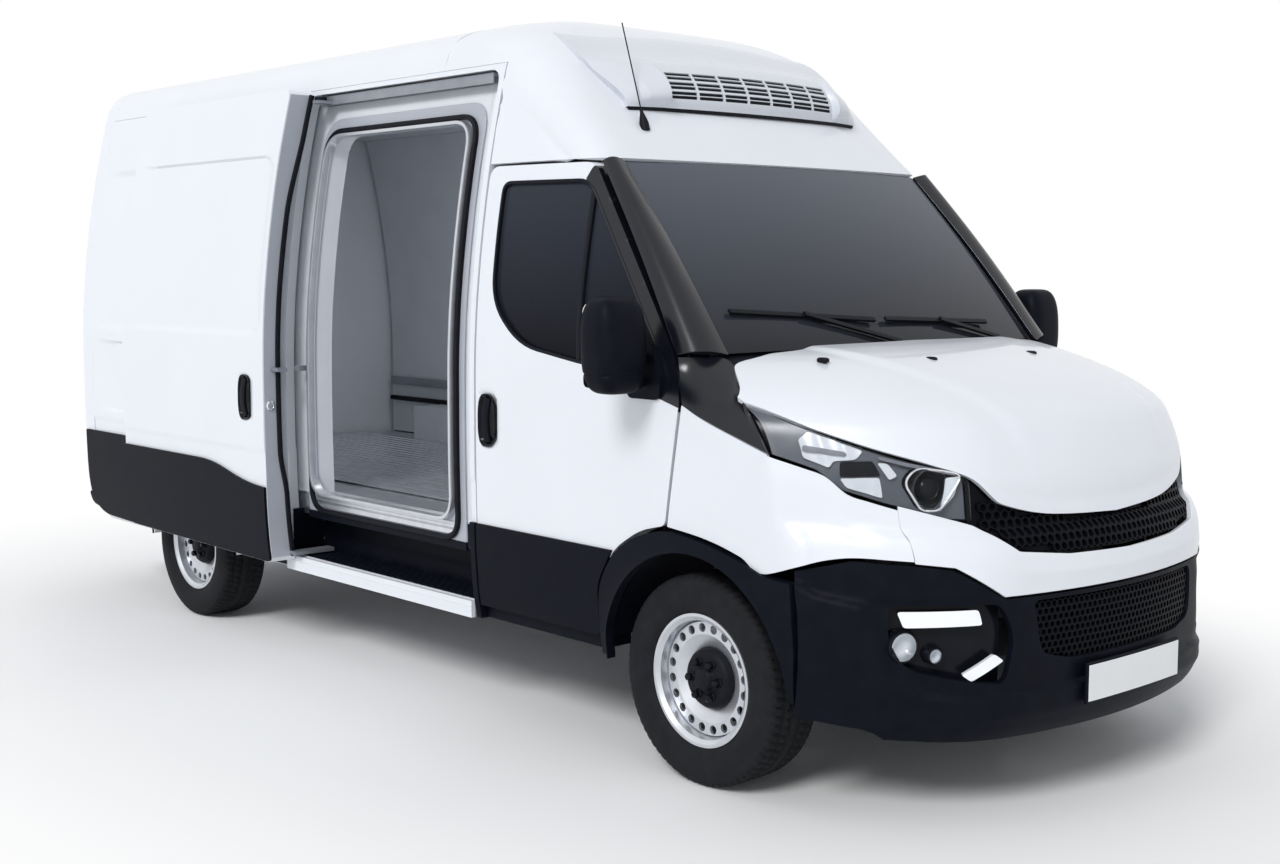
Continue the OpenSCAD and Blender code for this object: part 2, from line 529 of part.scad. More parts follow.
module load_liner() color(lining) {
  x0 = liner_x0;
  x1 = liner_x1;
  difference() {
    wall(1, x0, x1, load_floor_z + 1, roof_split - 30, inner_in, inner_in + liner_t);
    rod_y(axle_r, tyre_r, arch_r + 20, 600, 1300);
  }
  zc = roof_split - 29;
  wc = half_w(zc) - inner_in;
  top = roof_h - roof_t - 30;
  along_x(x0, x1) polygon([[-wc, zc], [-650 * kw, top - 62], [0, top], [650 * kw, top - 62], [wc, zc], [wc - liner_t, zc],
    [500 * kw, top - 56 - liner_t], [0, top - 14 - liner_t], [-500 * kw, top - 56 - liner_t], [liner_t - wc, zc]]);
  along_x(x1 + 1, ahead(-1216)) polygon(concat(
    [for (z = span(load_floor_z + 1, roof_split - 30, 10)) [half_w(z) - inner_in, z]],
    [for (z = span(roof_split - 30, load_floor_z + 1, 10)) [inner_in - half_w(z), z]]));
  both() difference() {
    block([axle_r - arch_r - 30, wheel_y - 228, load_floor_z + 1], [axle_r + arch_r + 30, half - inner_in - liner_t - 6, load_floor_z + 190]);
    rod_y(axle_r, tyre_r, arch_r + 14, 600, 1300);
  }
}
module evaporator() color(lining) difference() {
  ceiling = roof_h - roof_t - liner_t - 94;
  along_y(-420 * kw, 420 * kw) polygon(smooth([[ahead(-1307), ceiling - 260, 10], [ahead(-1620), ceiling - 180, 60],
    [ahead(-1640), ceiling, 20], [ahead(-1307), ceiling]]));
  for (y = [-210, 210]) translate([ahead(-1500), y * kw, ceiling - 340]) cylinder(r = 110, h = 170, $fn = 48);
}
// Rear opening, doors and lamps
post_w = 96;
hatch_low = 566;
hatch_top = roof_h - 118;
function hatch(s, grow, y0) = concat([[s * y0, hatch_low - grow]],
  [for (z = span(hatch_low - grow, hatch_top + grow, 14)) [s * (half_w(z) - post_w + grow), z]], [[s * y0, hatch_top + grow]]);
module rear_frame() color(paint) {
  difference() {
    along_x(rear_x, rear_x + 108) polygon(concat([for (z = span(500, roof_split, 14)) [half_w(z), z]],
      [for (i = [0:len(body_rows) - 1]) let (r = body_rows[i]) if (r[0] > roof_split + 1) [r[1], r[0]]],
      [for (i = [len(body_rows) - 2:-1:0]) let (r = body_rows[i]) if (r[0] > roof_split + 1) [-r[1], r[0]]],
      [for (z = span(roof_split, 500, 14)) [-half_w(z), z]]));
    for (s = [1, -1]) along_x(rear_x - 10, rear_x + 120) polygon(hatch(s, shut_gap, -1));
  }
  for (s = [1, -1], h = hinge_steps) hinge_axis(s) {
    translate([0, 0, h]) cylinder(r = 6, h = 90, $fn = 32);
    for (e = [0, 74]) translate([-6, s > 0 ? -6 : -80, h + e]) cube([17, 86, 16]);
    for (e = [0, 74]) translate([-6, s > 0 ? 54 : -80, h + e]) cube([30, 26, 16]);
  }
}
// Line of the rear door hinges, leaning with the rear post
hinge_low = [rear_x - 14, 898 + wide, 930];
hinge_lean = atan(tan(4.4) * kw / kz);
hinge_steps = [-200, 520 * kz, 1120 * kz];
module hinge_axis(s) {
  translate([hinge_low[0], s * hinge_low[1], hinge_low[2]]) rotate([s * hinge_lean, 0, 0]) children();
}
module rear_door(s) color(paint) {
  difference() {
    along_x(rear_x, rear_x + rear_door_t) polygon(hatch(s, 0, 3));
    along_x(rear_x - 1, rear_x + 8) polygon(smooth(rise([[s * 90, 1500, 40], [s * 700 * kw, 1500, 40], [s * 640 * kw, 2240, 60], [s * 90, 2240, 60]])));
    along_x(rear_x - 1, rear_x + 12) polygon(smooth(rise([[s * 70, 760, 40], [s * 780 * kw, 760, 40], [s * 780 * kw, 1360, 60], [s * 70, 1360, 60]])));
  }
  hinge_axis(s) for (h = hinge_steps) translate([0, 0, h + 22]) difference() {
    union() {
      cylinder(r = 13, h = 46, $fn = 48);
      translate([0, s > 0 ? -50 : 0, 0]) cube([20, 50, 46]);
    }
    translate([0, 0, -1]) cylinder(r = 6 + run_fit, h = 48, $fn = 48);
  }
  if (s < 0) along_x(rear_x - 22, rear_x + 1) polygon(smooth([[-40, 1080, 8], [-14, 1080, 8], [-14, 1240, 8], [-40, 1240, 8]]));
}
module rear_door_left() rear_door(1);
module rear_door_right() rear_door(-1);
module tail_lamps() color([0.6, 0.08, 0.08]) for (s = [1, -1]) difference() {
  along_x(rear_x - 9, rear_x - eps) polygon(strip(s, 850, up(1360), 6, post_w - 30));
  for (z = [960, 1080, 1200]) along_x(rear_x - 12, rear_x - 6) polygon([[s * (half - 105), z], [s * (half + 95), z], [s * (half + 95), z + 8], [s * (half - 105), z + 8]]);
}
module rear_bumper() color(black) {
  difference() {
    along_x(rear_x - 28, rear_x + 108) polygon(smooth([[45 - half, 400, 60], [half - 45, 400, 60], [half - 20, 494, 20], [20 - half, 494, 20]]));
    block([rear_x + 20, 105 - half, 380], [rear_x + 120, half - 105, 470]);
  }
  for (k = [0:9]) block([rear_x - 26, -720 + k * 150, 492], [rear_x + 60, -640 + k * 150, 498]);
}

// Side doorway, rails and the open sliding door
module entry_step() color(silver) {
  block([open_x0 + 5, 3 - half, 368], [open_x1 - 4, 21 - half, 432]);
  block([open_x0 + 5, 20 - half, 416], [open_x1 - 4, 205 - half, 430]);
  block([open_x0 + 5, 193 - half, 416], [open_x1 - 4, 206 - half, 600]);
  for (k = [0:3]) block([open_x0 + 27, 35 - half + k * 44, 429], [open_x1 - 26, 59 - half + k * 44, 435]);
}
module slide_rails() color(steel) {
  z = open_top - 46;
  y = 21 - half_w(open_top - 28);
  difference() {
    block([open_x0 + 69, y, z], [open_x1 - 68, y + 40, z + 38]);
    block([open_x0 + 57, y + 6, z - 12], [open_x1 - 50, y + 34, z + 28]);
  }
  block([slide_front + 34, y - 72, z + 4], [slide_front + 74, y + 28, z + 16]);
  block([slide_front + 3, 5 - half, 1240], [slide_front + 34, 65 - half, 1262]);
  block([slide_front + 3, -35 - half, 446], [slide_front + 54, 155 - half, 462]);
}
slide_x0 = slide_front - slide_w;
module sliding_door() color(paint) {
  difference() {
    union() {
      difference() {
        wall(-1, slide_x0, slide_front, 415, open_top + 18, -slide_off - slide_t, -slide_off);
        along_y(-1500, -400) difference() {
          polygon([[slide_x0 - 50, 300], [slide_front + 74, 300], [slide_front + 74, open_top + 180], [slide_x0 - 50, open_top + 180]]);
          polygon(smooth([[slide_x0, 430, 70], [slide_front, 415, 40], [slide_front, open_top + 18, 50], [slide_x0, open_top + 18, 60]]));
        }
      }
      intersection() {
        wall(-1, slide_x0 + 1, slide_front - 1, 420, 830, -slide_off - slide_t - clad_t, -slide_off - slide_t + 2);
        along_y(-1500, -400) polygon(smooth([[slide_x0 + 1, 436, 60], [slide_front - 1, 421, 30], [slide_front - 1, 746],
          [slide_front - 176, 755, 100], [slide_front - 486, 826, 100], [slide_x0 + 1, 826]]));
      }
    }
    along_y(-1500, -half - slide_off - slide_t + 26) polygon(smooth([[slide_front - 206, 1015, 40], [slide_front - 116, 1015, 40],
      [slide_front - 116, 1235, 40], [slide_front - 206, 1235, 40]]));
    wall(-1, slide_x0 + 160, slide_front - 126, up(1420), up(2240), -slide_off - slide_t - 5, -slide_off - slide_t + 5);
    block([slide_front - 10, -half - slide_off - 90, 1000], [slide_front + 4, -half - slide_off - 50, 1110]);
  }
  along_y(-half - slide_off - slide_t + 2, -half - slide_off - slide_t + 27) polygon(smooth([[slide_front - 176, 1040, 14],
    [slide_front - 146, 1040, 14], [slide_front - 146, 1210, 14], [slide_front - 176, 1210, 14]]));
}

// Cooling unit on the roof nose: centre line from the foot up, and the edge that meets the roof
unit_mid = [[-676, 2264], [-668, 2290], [-726, 2411], [-762, 2438], [-856, 2473], [-1000, 2556], [-1180, 2606]];
unit_edge = [[-770, 600, 2264], [-778, 604, 2290], [-915, 645, 2410], [-940, 652, 2435], [-975, 660, 2470],
  [-1060, 660, 2535], [-1180, 640, 2580]];
function unit_at(i, y) = abs(y) > 500 ? [ahead(unit_edge[i][0]), sign(y) * unit_edge[i][1], unit_edge[i][2]]
  : [ahead(unit_mid[i][0]) - 32 * pow(y / 450, 2), y, unit_mid[i][1] - 2 * i * pow(y / 450, 2)];
module condenser_unit() color(paint) difference() {
  o = [for (i = [0:6]) [for (y = [-600, -450, -225, 0, 225, 450, 600]) unit_at(i, y)]];
  patch(o, [for (r = o) [for (p = r) p - [160, 0, 90]]]);
  translate([2, 0, 1.5]) dome(-3, -3);
  for (r = [0:louvre_rows - 1], k = [0:louvre_cols - 1]) let (p = 880 / louvre_cols, y = (k - (louvre_cols - 1) / 2) * p,
    z = 2303 + r * 106 / louvre_rows) slab([ahead(-780), y - p / 2 + 6, z], [ahead(-640), y + p / 2 - 6, z + 72 / louvre_rows]);
}

// Inside the cab
module dashboard() color(black) along_y(-852 * kw, 852 * kw) polygon(smooth(rise([[ahead(-66), 1092], [ahead(-66), 1322, 20],
  [ahead(-190), 1350, 60], [ahead(-430), 1290, 60], [ahead(-440), 1150, 50], [ahead(-330), 880, 60], [ahead(-200), 860, 40],
  [ahead(-66), 1092]])));
module steering_wheel() color(black) translate(fit([ahead(-545), 430, 1275])) rotate([0, -50, 0]) {
  rotate_extrude($fn = 64) translate([190, 0]) circle(r = 16, $fn = 24);
  for (a = [90, 210, 330]) rotate(a) translate([40, -16, -8]) cube([145, 32, 12]);
  translate([0, 0, -30]) cylinder(r = 52, h = 36, $fn = 48);
  translate([0, 0, -96]) cylinder(r = 26, h = 70, $fn = 48);
}
module seats() color([0.24, 0.25, 0.28]) for (p = [[430 * kw, 250 * kw], [-330 * kw, 450 * kw]]) {
  along_y(p[0] - p[1], p[0] + p[1]) polygon(smooth(rise([[ahead(-1080), 940, 30], [ahead(-600), 960, 45], [ahead(-590), 1070, 45],
    [ahead(-960), 1060, 40], [ahead(-1040), 1130, 40], [ahead(-1100), 1660, 20], [ahead(-1150), 1660, 20]])));
  block([ahead(-1040), p[0] - p[1] + 60, 682], [ahead(-640), p[0] + p[1] - 60, 945]);
  for (k = p[1] > 300 ? [-1, 1] : [0]) translate([ahead(-1110), p[0] + k * 220 * kw, up(1655)]) {
    translate([-30, -120, 20]) cube([60, 240, 150]);
    translate([-8, -40, -20]) cube([16, 80, 60]);
  }
}

// Opening panels
module bonnet() color(paint) {
  ys = mirrored([0, 180, 360, 507, 600, 700, 800, 880, 940, 984]);
  top = [[0, 1421], [500, 1418], [700, 1408], [800, 1393], [868, 1377], [984, 1286]];
  patch(nose_grid(ys, shifted(bonnet_low, 0), top, 11, 0, 0), nose_grid(ys, shifted(bonnet_low, 0), top, 11, bonnet_t, bonnet_t));
  both() difference() {
    union() {
      rod_y(ahead(52), lid_z, 13, lid_y - 15, lid_y + 15);
      block([ahead(52), lid_y - 15, lid_z - 13], [ahead(110), lid_y + 15, lid_z - 7]);
    }
    rod_y(ahead(52), lid_z, 6 + run_fit, lid_y - 25, lid_y + 25);
  }
}
// Plane that narrows the cab towards the windscreen
function cab_half(x, z) = 880 - 0.0955 * (x - ahead(-560)) - 0.2256 * (z - 2057);
module cab_taper(s, inset) {
  q = [[ahead(-1140), 1180], [ahead(120), 1180], [ahead(120), 2200], [ahead(-1140), 2200]];
  p = concat([for (c = q) [c[0], cab_half(c[0], c[1]) - inset, c[1]]], [for (c = q) [c[0], 1300, c[1]]]);
  mirror([0, s > 0 ? 0 : 1, 0]) polyhedron([for (c = p) fit(c)], [[3, 2, 1, 0], [4, 5, 6, 7], [1, 5, 4, 0], [2, 6, 5, 1], [3, 7, 6, 2], [0, 4, 7, 3]]);
}
door_edge = [[ahead(-1150), 425, 20], [ahead(-462), 425, 20], [ahead(-462), 604, 40], [ahead(-380), 738, 60],
  [ahead(-244), 818, 50], [ahead(-122), 848, 20], [ahead(-56), 1262, 40], [ahead(-100), 1404, 40],
  [ahead(-600), 2048, 50], [ahead(-1150), 2052, 50]];
window_edge = [[ahead(-1062), 1990, 40], [ahead(-1066), 1560, 100], [ahead(-900), 1410, 110], [ahead(-560), 1362, 40],
  [ahead(-210), 1330, 30], [ahead(-150), 1390, 30], [ahead(-610), 1985, 60]];
window_rim = [[ahead(-1060), 1987, 40], [ahead(-1064), 1561, 100], [ahead(-899), 1413, 110], [ahead(-560), 1365, 40],
  [ahead(-212), 1333, 30], [ahead(-154), 1390, 30], [ahead(-612), 1982, 60]];
module cab_door(s) color(paint) {
  difference() {
    intersection() {
      wall(s, ahead(-1151), ahead(-40), 420, up(2056), 0, door_t);
      along_y(-1300, 1300) polygon(smooth(rise(door_edge)));
    }
    cab_taper(s, 0);
    along_y(-1300, 1300) polygon(smooth(rise(window_edge)));
    translate([ahead(-150), s * (half - 33), 800]) cylinder(r = 8 + run_fit, h = 100, $fn = 64);
    along_y(s > 0 ? half - 26 : -1300, s > 0 ? 1300 : -half + 26) polygon(smooth([[ahead(-1122), 1015, 30], [ahead(-1040), 1015, 30],
      [ahead(-1040), 1235, 30], [ahead(-1122), 1235, 30]]));
  }
  intersection() {
    wall(s, ahead(-1150), ahead(-464), 428, 735, -clad_t, 2);
    along_y(-1300, 1300) polygon(smooth([[ahead(-1150), 428], [ahead(-464), 428, 20], [ahead(-464), 612, 40], [ahead(-390), 730, 30], [ahead(-1150), 735]]));
  }
  y1 = s > 0 ? half - 27 : -half - 1;
  along_y(y1, y1 + 28) polygon(smooth([[ahead(-1094), 1040, 14], [ahead(-1066), 1040, 14], [ahead(-1066), 1210, 14], [ahead(-1094), 1210, 14]]));
}
module door_left() cab_door(1);
module door_right() cab_door(-1);
module cab_side(s, inset) {
  difference() {
    wall(s, ahead(-1090), ahead(-100), up(1300), up(2020), inset, 138 + inset);
    cab_taper(s, inset);
  }
}
module door_pane(s) color(glass) difference() {
  intersection() {
    cab_side(s, 12);
    along_y(-1300, 1300) polygon(smooth(rise(window_rim)));
  }
  cab_side(s, 12 + glass_t);
}
module door_glass_left() door_pane(1);
module door_glass_right() door_pane(-1);
module door_mirror(s) color(black) {
  y0 = s > 0 ? half + 47 : -half - 247;
  intersection() {
    along_x(ahead(-300), ahead(-110)) polygon(smooth(rise([[y0, 1282, 50], [y0 + 200, 1282, 50], [y0 + 200, 1590, 60], [y0, 1590, 60]])));
    along_y(-1500, 1500) polygon(smooth(rise([[ahead(-270), 1280], [ahead(-180), 1280, 45], [ahead(-130), 1380, 45], [ahead(-140), 1530, 35],
      [ahead(-190), 1592, 35], [ahead(-270), 1592]])));
  }
  block([ahead(-250), s > 0 ? half + 2 : -half - 95, up(1286)], [ahead(-205), s > 0 ? half + 95 : -half - 2, up(1322)]);
  block([ahead(-264), s > 0 ? half + 0.6 : -half - 16, up(1256)], [ahead(-188), s > 0 ? half + 16 : -half - 0.6, up(1326)]);
}
module mirror_left() door_mirror(1);
module mirror_right() door_mirror(-1);

chassis_frame();
engine_block();
fuel_tank();
exhaust();
propshaft();
rear_axle();
leaf_springs();
front_suspension();
cab_floor();
arch_liners();
cab_roof();
pillar_frame();
windscreen();
wipers();
front_wings();
front_panel();
grille();
front_bumper();
front_lamps();
cladding();
side_panel_left();
side_panel_right();
load_roof();
load_floor();
load_liner();
liner_right();
evaporator();
rear_frame();
tail_lamps();
rear_bumper();
entry_step();
slide_rails();
sliding_door();
condenser_unit();
dashboard();
steering_wheel();
seats();
bonnet();
door_left();
door_right();
door_glass_left();
door_glass_right();
mirror_left();
mirror_right();
rear_door_left();
rear_door_right();
knuckle_left();
knuckle_right();
rim_front_left();
rim_front_right();
rim_rear_left();
rim_rear_right();
tyre_front_left();
tyre_front_right();
tyre_rear_left();
tyre_rear_right();
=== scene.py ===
import math

import bpy
import numpy as np
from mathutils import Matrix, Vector
from mathutils.geometry import delaunay_2d_cdt


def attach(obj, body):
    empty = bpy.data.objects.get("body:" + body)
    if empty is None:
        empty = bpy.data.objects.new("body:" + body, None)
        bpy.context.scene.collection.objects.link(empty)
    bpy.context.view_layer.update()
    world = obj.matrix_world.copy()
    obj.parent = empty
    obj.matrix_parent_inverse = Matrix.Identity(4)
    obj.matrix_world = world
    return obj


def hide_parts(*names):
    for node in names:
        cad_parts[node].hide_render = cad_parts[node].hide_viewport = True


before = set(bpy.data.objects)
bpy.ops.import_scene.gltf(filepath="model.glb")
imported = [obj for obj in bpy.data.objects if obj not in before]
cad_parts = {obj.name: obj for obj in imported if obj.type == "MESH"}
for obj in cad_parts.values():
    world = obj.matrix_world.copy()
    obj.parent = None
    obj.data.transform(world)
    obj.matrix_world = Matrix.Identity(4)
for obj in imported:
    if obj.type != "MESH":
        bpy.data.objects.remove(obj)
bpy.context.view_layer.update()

# Lengths are in mm; X ahead, Y left, Z up, ground at Z = 0
MM = 0.001
AXLE_F, AXLE_R, REAR = 1835.0, -1685.0, -2805.0
HALF, B_POST, TYRE_R, WHEEL_Y = 1005.0, 677.0, 349.0, 868.0
SLIDE_OUT, CLAD = 145.0, 9.0
ARCH_R, SILL_Z, CLAD_Z, SIDE_TOP, CLAD_TOP = 424.0, 368.0, 375.0, 2438.0, 830.0
COWL_HALF, EAVE_Z = 845.0, 2440.0
CROWN, CORNER_Y, CORNER_BOW = 3800.0, 500.0, 0.00109
HANDLE_Z, PLATE_Z, FLOOR_Z, STEP_Z = 1125.0, 410.0, 707.0, 436.0
SIDES = ((1, "left"), (-1, "right"))
WHEELS = [(x, s, f"{end}_{tag}") for x, end in ((AXLE_F, "front"), (AXLE_R, "rear")) for s, tag in SIDES]

# Half width over height, roof height over half width, and the nose profile as (height, distance ahead)
BODY_ROWS = [(360, 968), (480, 988), (700, 1001), (1000, 1005), (1300, 1003), (1500, 994), (1700, 975),
             (1900, 948), (2100, 914), (2300, 871), (2440, 837), (2500, 818)]
ROOF_ROWS = [(0, 2660), (200, 2658), (400, 2648), (560, 2630), (680, 2605), (745, 2580), (790, 2545),
             (818, 2500), (837, 2440), (850, 2395)]
NOSE_ROWS = [(245, 930), (300, 970), (340, 985), (414, 995), (520, 1000), (640, 996), (708, 985), (817, 972),
             (880, 946), (912, 915), (1035, 898), (1096, 880), (1154, 856), (1205, 827), (1241, 785),
             (1275, 722), (1310, 638), (1338, 553), (1363, 466), (1385, 377), (1403, 286), (1415, 194),
             (1422, 60)]
# Level lines of the roof nose: height, distance ahead of the front axle, bow and corner length
DOME_ROWS = [(2062, -516, 52, 120), (2170, -612, 75, 150), (2274, -708, 95, 170), (2380, -808, 105, 190),
             (2470, -900, 110, 210), (2545, -1000, 110, 220), (2600, -1110, 105, 220), (2635, -1230, 80, 130),
             (2652, -1340, 40, 60), (2659, -1440, 10, 30)]
# Edges across the front as (half width, height)
BONNET_LOW = [(0, 912), (300, 928), (507, 972), (600, 1056), (700, 1098), (810, 1143), (918, 1206),
              (985, 1270)]
BONNET_TOP = [(0, 1421), (500, 1418), (700, 1408), (800, 1393), (868, 1377), (984, 1286)]
LAMP_LOW = [(600, 925), (656, 928), (798, 977), (874, 1012), (916, 1072), (1000, 1122)]
PANEL_TOP = [(0, 807), (300, 815), (495, 837), (600, 915), (780, 976)]
PANEL_LOW = [(0, 705), (555, 705), (690, 798), (780, 810)]
BUMPER_TOP = [(0, 697), (560, 697), (694, 790), (780, 802), (900, 812), (1000, 775)]
BUMPER_LOW = [(0, 262), (700, 262), (836, 270), (856, 298), (968, 322), (1000, 328)]
BUMPER_LEDGE = [(0, 420), (262, 416), (652, 396), (765, 410), (835, 460), (885, 682), (968, 708), (1000, 745)]


def ahead(d):
    """X at a distance ahead of the front axle."""
    return AXLE_F + d


def from_axle(*pts):
    """Points whose first value is a distance ahead of the front axle, as points in X."""
    return [(ahead(p[0]), *p[1:]) for p in pts]


def hermite(x, y, m, t):
    """Values at t on cubic pieces through (x, y) with slopes m."""
    i = np.clip(np.searchsorted(x, t, side="right") - 1, 0, len(x) - 2)
    h = x[i + 1] - x[i]
    s = np.clip((t - x[i]) / h, 0, 1)
    e = (...,) + (None,) * (y.ndim - 1)
    h, s = h[e], s[e]
    return ((1 + 2 * s) * (1 - s) ** 2 * y[i] + s * (1 - s) ** 2 * h * m[i]
            + s * s * (3 - 2 * s) * y[i + 1] + s * s * (s - 1) * h * m[i + 1])


def curve(rows):
    """A smooth curve through (t, value) rows without overshoot: cubic pieces with harmonic-mean slopes."""
    x, y = np.array(rows, float).T
    d = np.diff(y) / np.diff(x)
    p = d[:-1] * d[1:]
    m = np.r_[d[0], np.where(p > 0, 2 * p / np.where(p > 0, d[:-1] + d[1:], 1), 0), d[-1]]
    return lambda t: hermite(x, y, m, np.asarray(t, float))


def line(rows):
    """Straight pieces through (half width, value) rows, the same on both sides."""
    x, y = np.array(rows, float).T
    return lambda t: np.interp(np.abs(t), x, y)


def spline(P, n):
    """n points along the first axis of P on a cubic through its rows, spaced by chord length."""
    P = np.asarray(P, float)
    k = len(P)
    d = np.maximum(np.linalg.norm(np.diff(P, axis=0), axis=-1).reshape(k - 1, -1).mean(1), 1e-6)
    e = (slice(None),) + (None,) * (P.ndim - 1)
    x = np.r_[0, np.cumsum(d)]
    D = np.diff(P, axis=0) / d[e]
    mid = (D[:-1] * d[1:][e] + D[1:] * d[:-1][e]) / (d[:-1] + d[1:])[e]
    m = np.concatenate([D[:1], mid, D[-1:]])
    return hermite(x, P, m, np.linspace(0, x[-1], n))


def net(P, nu, nv):
    """A dense nu by nv grid on cubics through a coarse net, down its columns and then along its rows."""
    A = spline(P, nu)
    return np.swapaxes(spline(np.swapaxes(A, 0, 1), nv), 0, 1)


def grid(a, b):
    """Two lists of values as two arrays, the first down the rows and the second along them."""
    return np.meshgrid(a, b, indexing="ij")


half_w = curve(BODY_ROWS)
roof_z = curve(ROOF_ROWS)
bonnet_low, bonnet_top = curve(BONNET_LOW), curve(BONNET_TOP)
lamp_low, panel_top, panel_low = line(LAMP_LOW), line(PANEL_TOP), line(PANEL_LOW)
bumper_top, bumper_low, bumper_ledge = line(BUMPER_TOP), line(BUMPER_LOW), line(BUMPER_LEDGE)
nose_z, nose_x = np.array(NOSE_ROWS, float).T
nose_len = np.r_[0, np.cumsum(np.hypot(np.diff(nose_z), np.diff(nose_x)))]
nose_at = curve(list(zip(nose_len, nose_x)))
nose_up = curve(list(zip(nose_len, nose_z)))
fine_len = np.linspace(0, nose_len[-1], 4000)
fine_z = nose_up(fine_len)


def nose_s(z):
    """Length along the nose profile at height z."""
    return np.interp(z, fine_z, fine_len)


def drop(y):
    """How far the front form falls back at y: a parabola, and a second one past the corner line."""
    return y * y / CROWN + CORNER_BOW * np.maximum(0, np.abs(y) - CORNER_Y) ** 2


def nose_point(y, s, inset=0.0):
    """The front form: the nose profile at length s, moved back across the width by the drop at y."""
    return np.stack([ahead(nose_at(s) - drop(y) - inset), y * (1 - 0.35 * inset / 1000), nose_up(s)], -1)


def cab_half(x, z):
    """Half width of the plane of the cab side that leans in ahead and upward."""
    return 880 - 0.0955 * (x - ahead(-560)) - 0.2256 * (z - 2057)


def softmin(a, b, r):
    """The lower of a and b, with the crease between them rounded over about r."""
    h = np.clip(0.5 + 0.5 * (b - a) / r, 0, 1)
    return b + (a - b) * h - r * h * (1 - h)


def step(t, a, b):
    """A smooth rise from 0 at a to 1 at b: three squares less two cubes."""
    s = np.clip((t - a) / (b - a), 0, 1)
    return s * s * (3 - 2 * s)


def bell(t, at, width, p=2):
    """A bell of height 1 about a place, falling by the power p of the distance over its width."""
    return np.exp(-((t - at) / width) ** p)


def power(t, e):
    """t raised to the power e with its sign kept."""
    return np.sign(t) * np.abs(t) ** e


def turn_of(n):
    """n angles round a full turn."""
    return np.linspace(0, 2 * np.pi, n, endpoint=False)


def rounded(pts, n=7):
    """A closed outline; a corner (u, v, length) is a parabolic arc that leaves each edge at that length."""
    out, k = [], len(pts)
    for i, p in enumerate(pts):
        a, b, c = (np.array(pts[j % k][:2], float) for j in (i - 1, i, i + 1))
        r = p[2] if len(p) > 2 else 0
        if not r:
            out.append(b[None])
            continue
        t = np.linspace(0, 1, n)[:, None]
        u, v = b + (a - b) / np.linalg.norm(a - b) * r, b + (c - b) / np.linalg.norm(c - b) * r
        out.append((1 - t) ** 2 * u + 2 * t * (1 - t) * b + t * t * v)
    return np.vstack(out)


def oblong(u0, u1, v0, v1, low=0, top=None, n=7):
    """A rectangle with its two lower and two upper corners rounded."""
    top = low if top is None else top
    return rounded([(u0, v0, low), (u1, v0, low), (u1, v1, top), (u0, v1, top)], n)


def bar(w, h, r, n=3):
    """A rounded rectangle of half width w and half height h about the origin, the section of a bar."""
    return oblong(-w, w, -h, h, r, n=n)


def circle(r, n):
    """n points on a circle."""
    a = turn_of(n)
    return np.stack([r * np.cos(a), r * np.sin(a)], 1)


def resample(poly, h):
    """A closed outline with each edge cut into equal lengths of at most h."""
    nxt = np.roll(poly, -1, 0)
    n = np.maximum(1, np.ceil(np.linalg.norm(nxt - poly, axis=1) / h).astype(int))
    return np.vstack([a + (b - a) * (np.arange(k) / k)[:, None] for a, b, k in zip(poly, nxt, n)])


def inside(p, poly):
    """Which points lie inside an outline: a ray along X from each crosses it an odd number of times."""
    a, b = poly, np.roll(poly, -1, 0)
    x, y = p[:, 0, None], p[:, 1, None]
    cross_x = (b[:, 0] - a[:, 0]) * (y - a[:, 1]) / (b[:, 1] - a[:, 1] + 1e-12) + a[:, 0]
    cut = ((a[:, 1] > y) != (b[:, 1] > y)) & (x < cross_x)
    return cut.sum(1) % 2 == 1


# Materials


def node(tree, kind, **values):
    """A new shader node of a kind, with the inputs of those names set."""
    made = tree.nodes.new("ShaderNode" + kind)
    for key, value in values.items():
        made.inputs[key.replace("_", " ")].default_value = value
    return made


def join(tree, *pairs):
    """Links from outputs to inputs."""
    for a, b in pairs:
        tree.links.new(a, b)


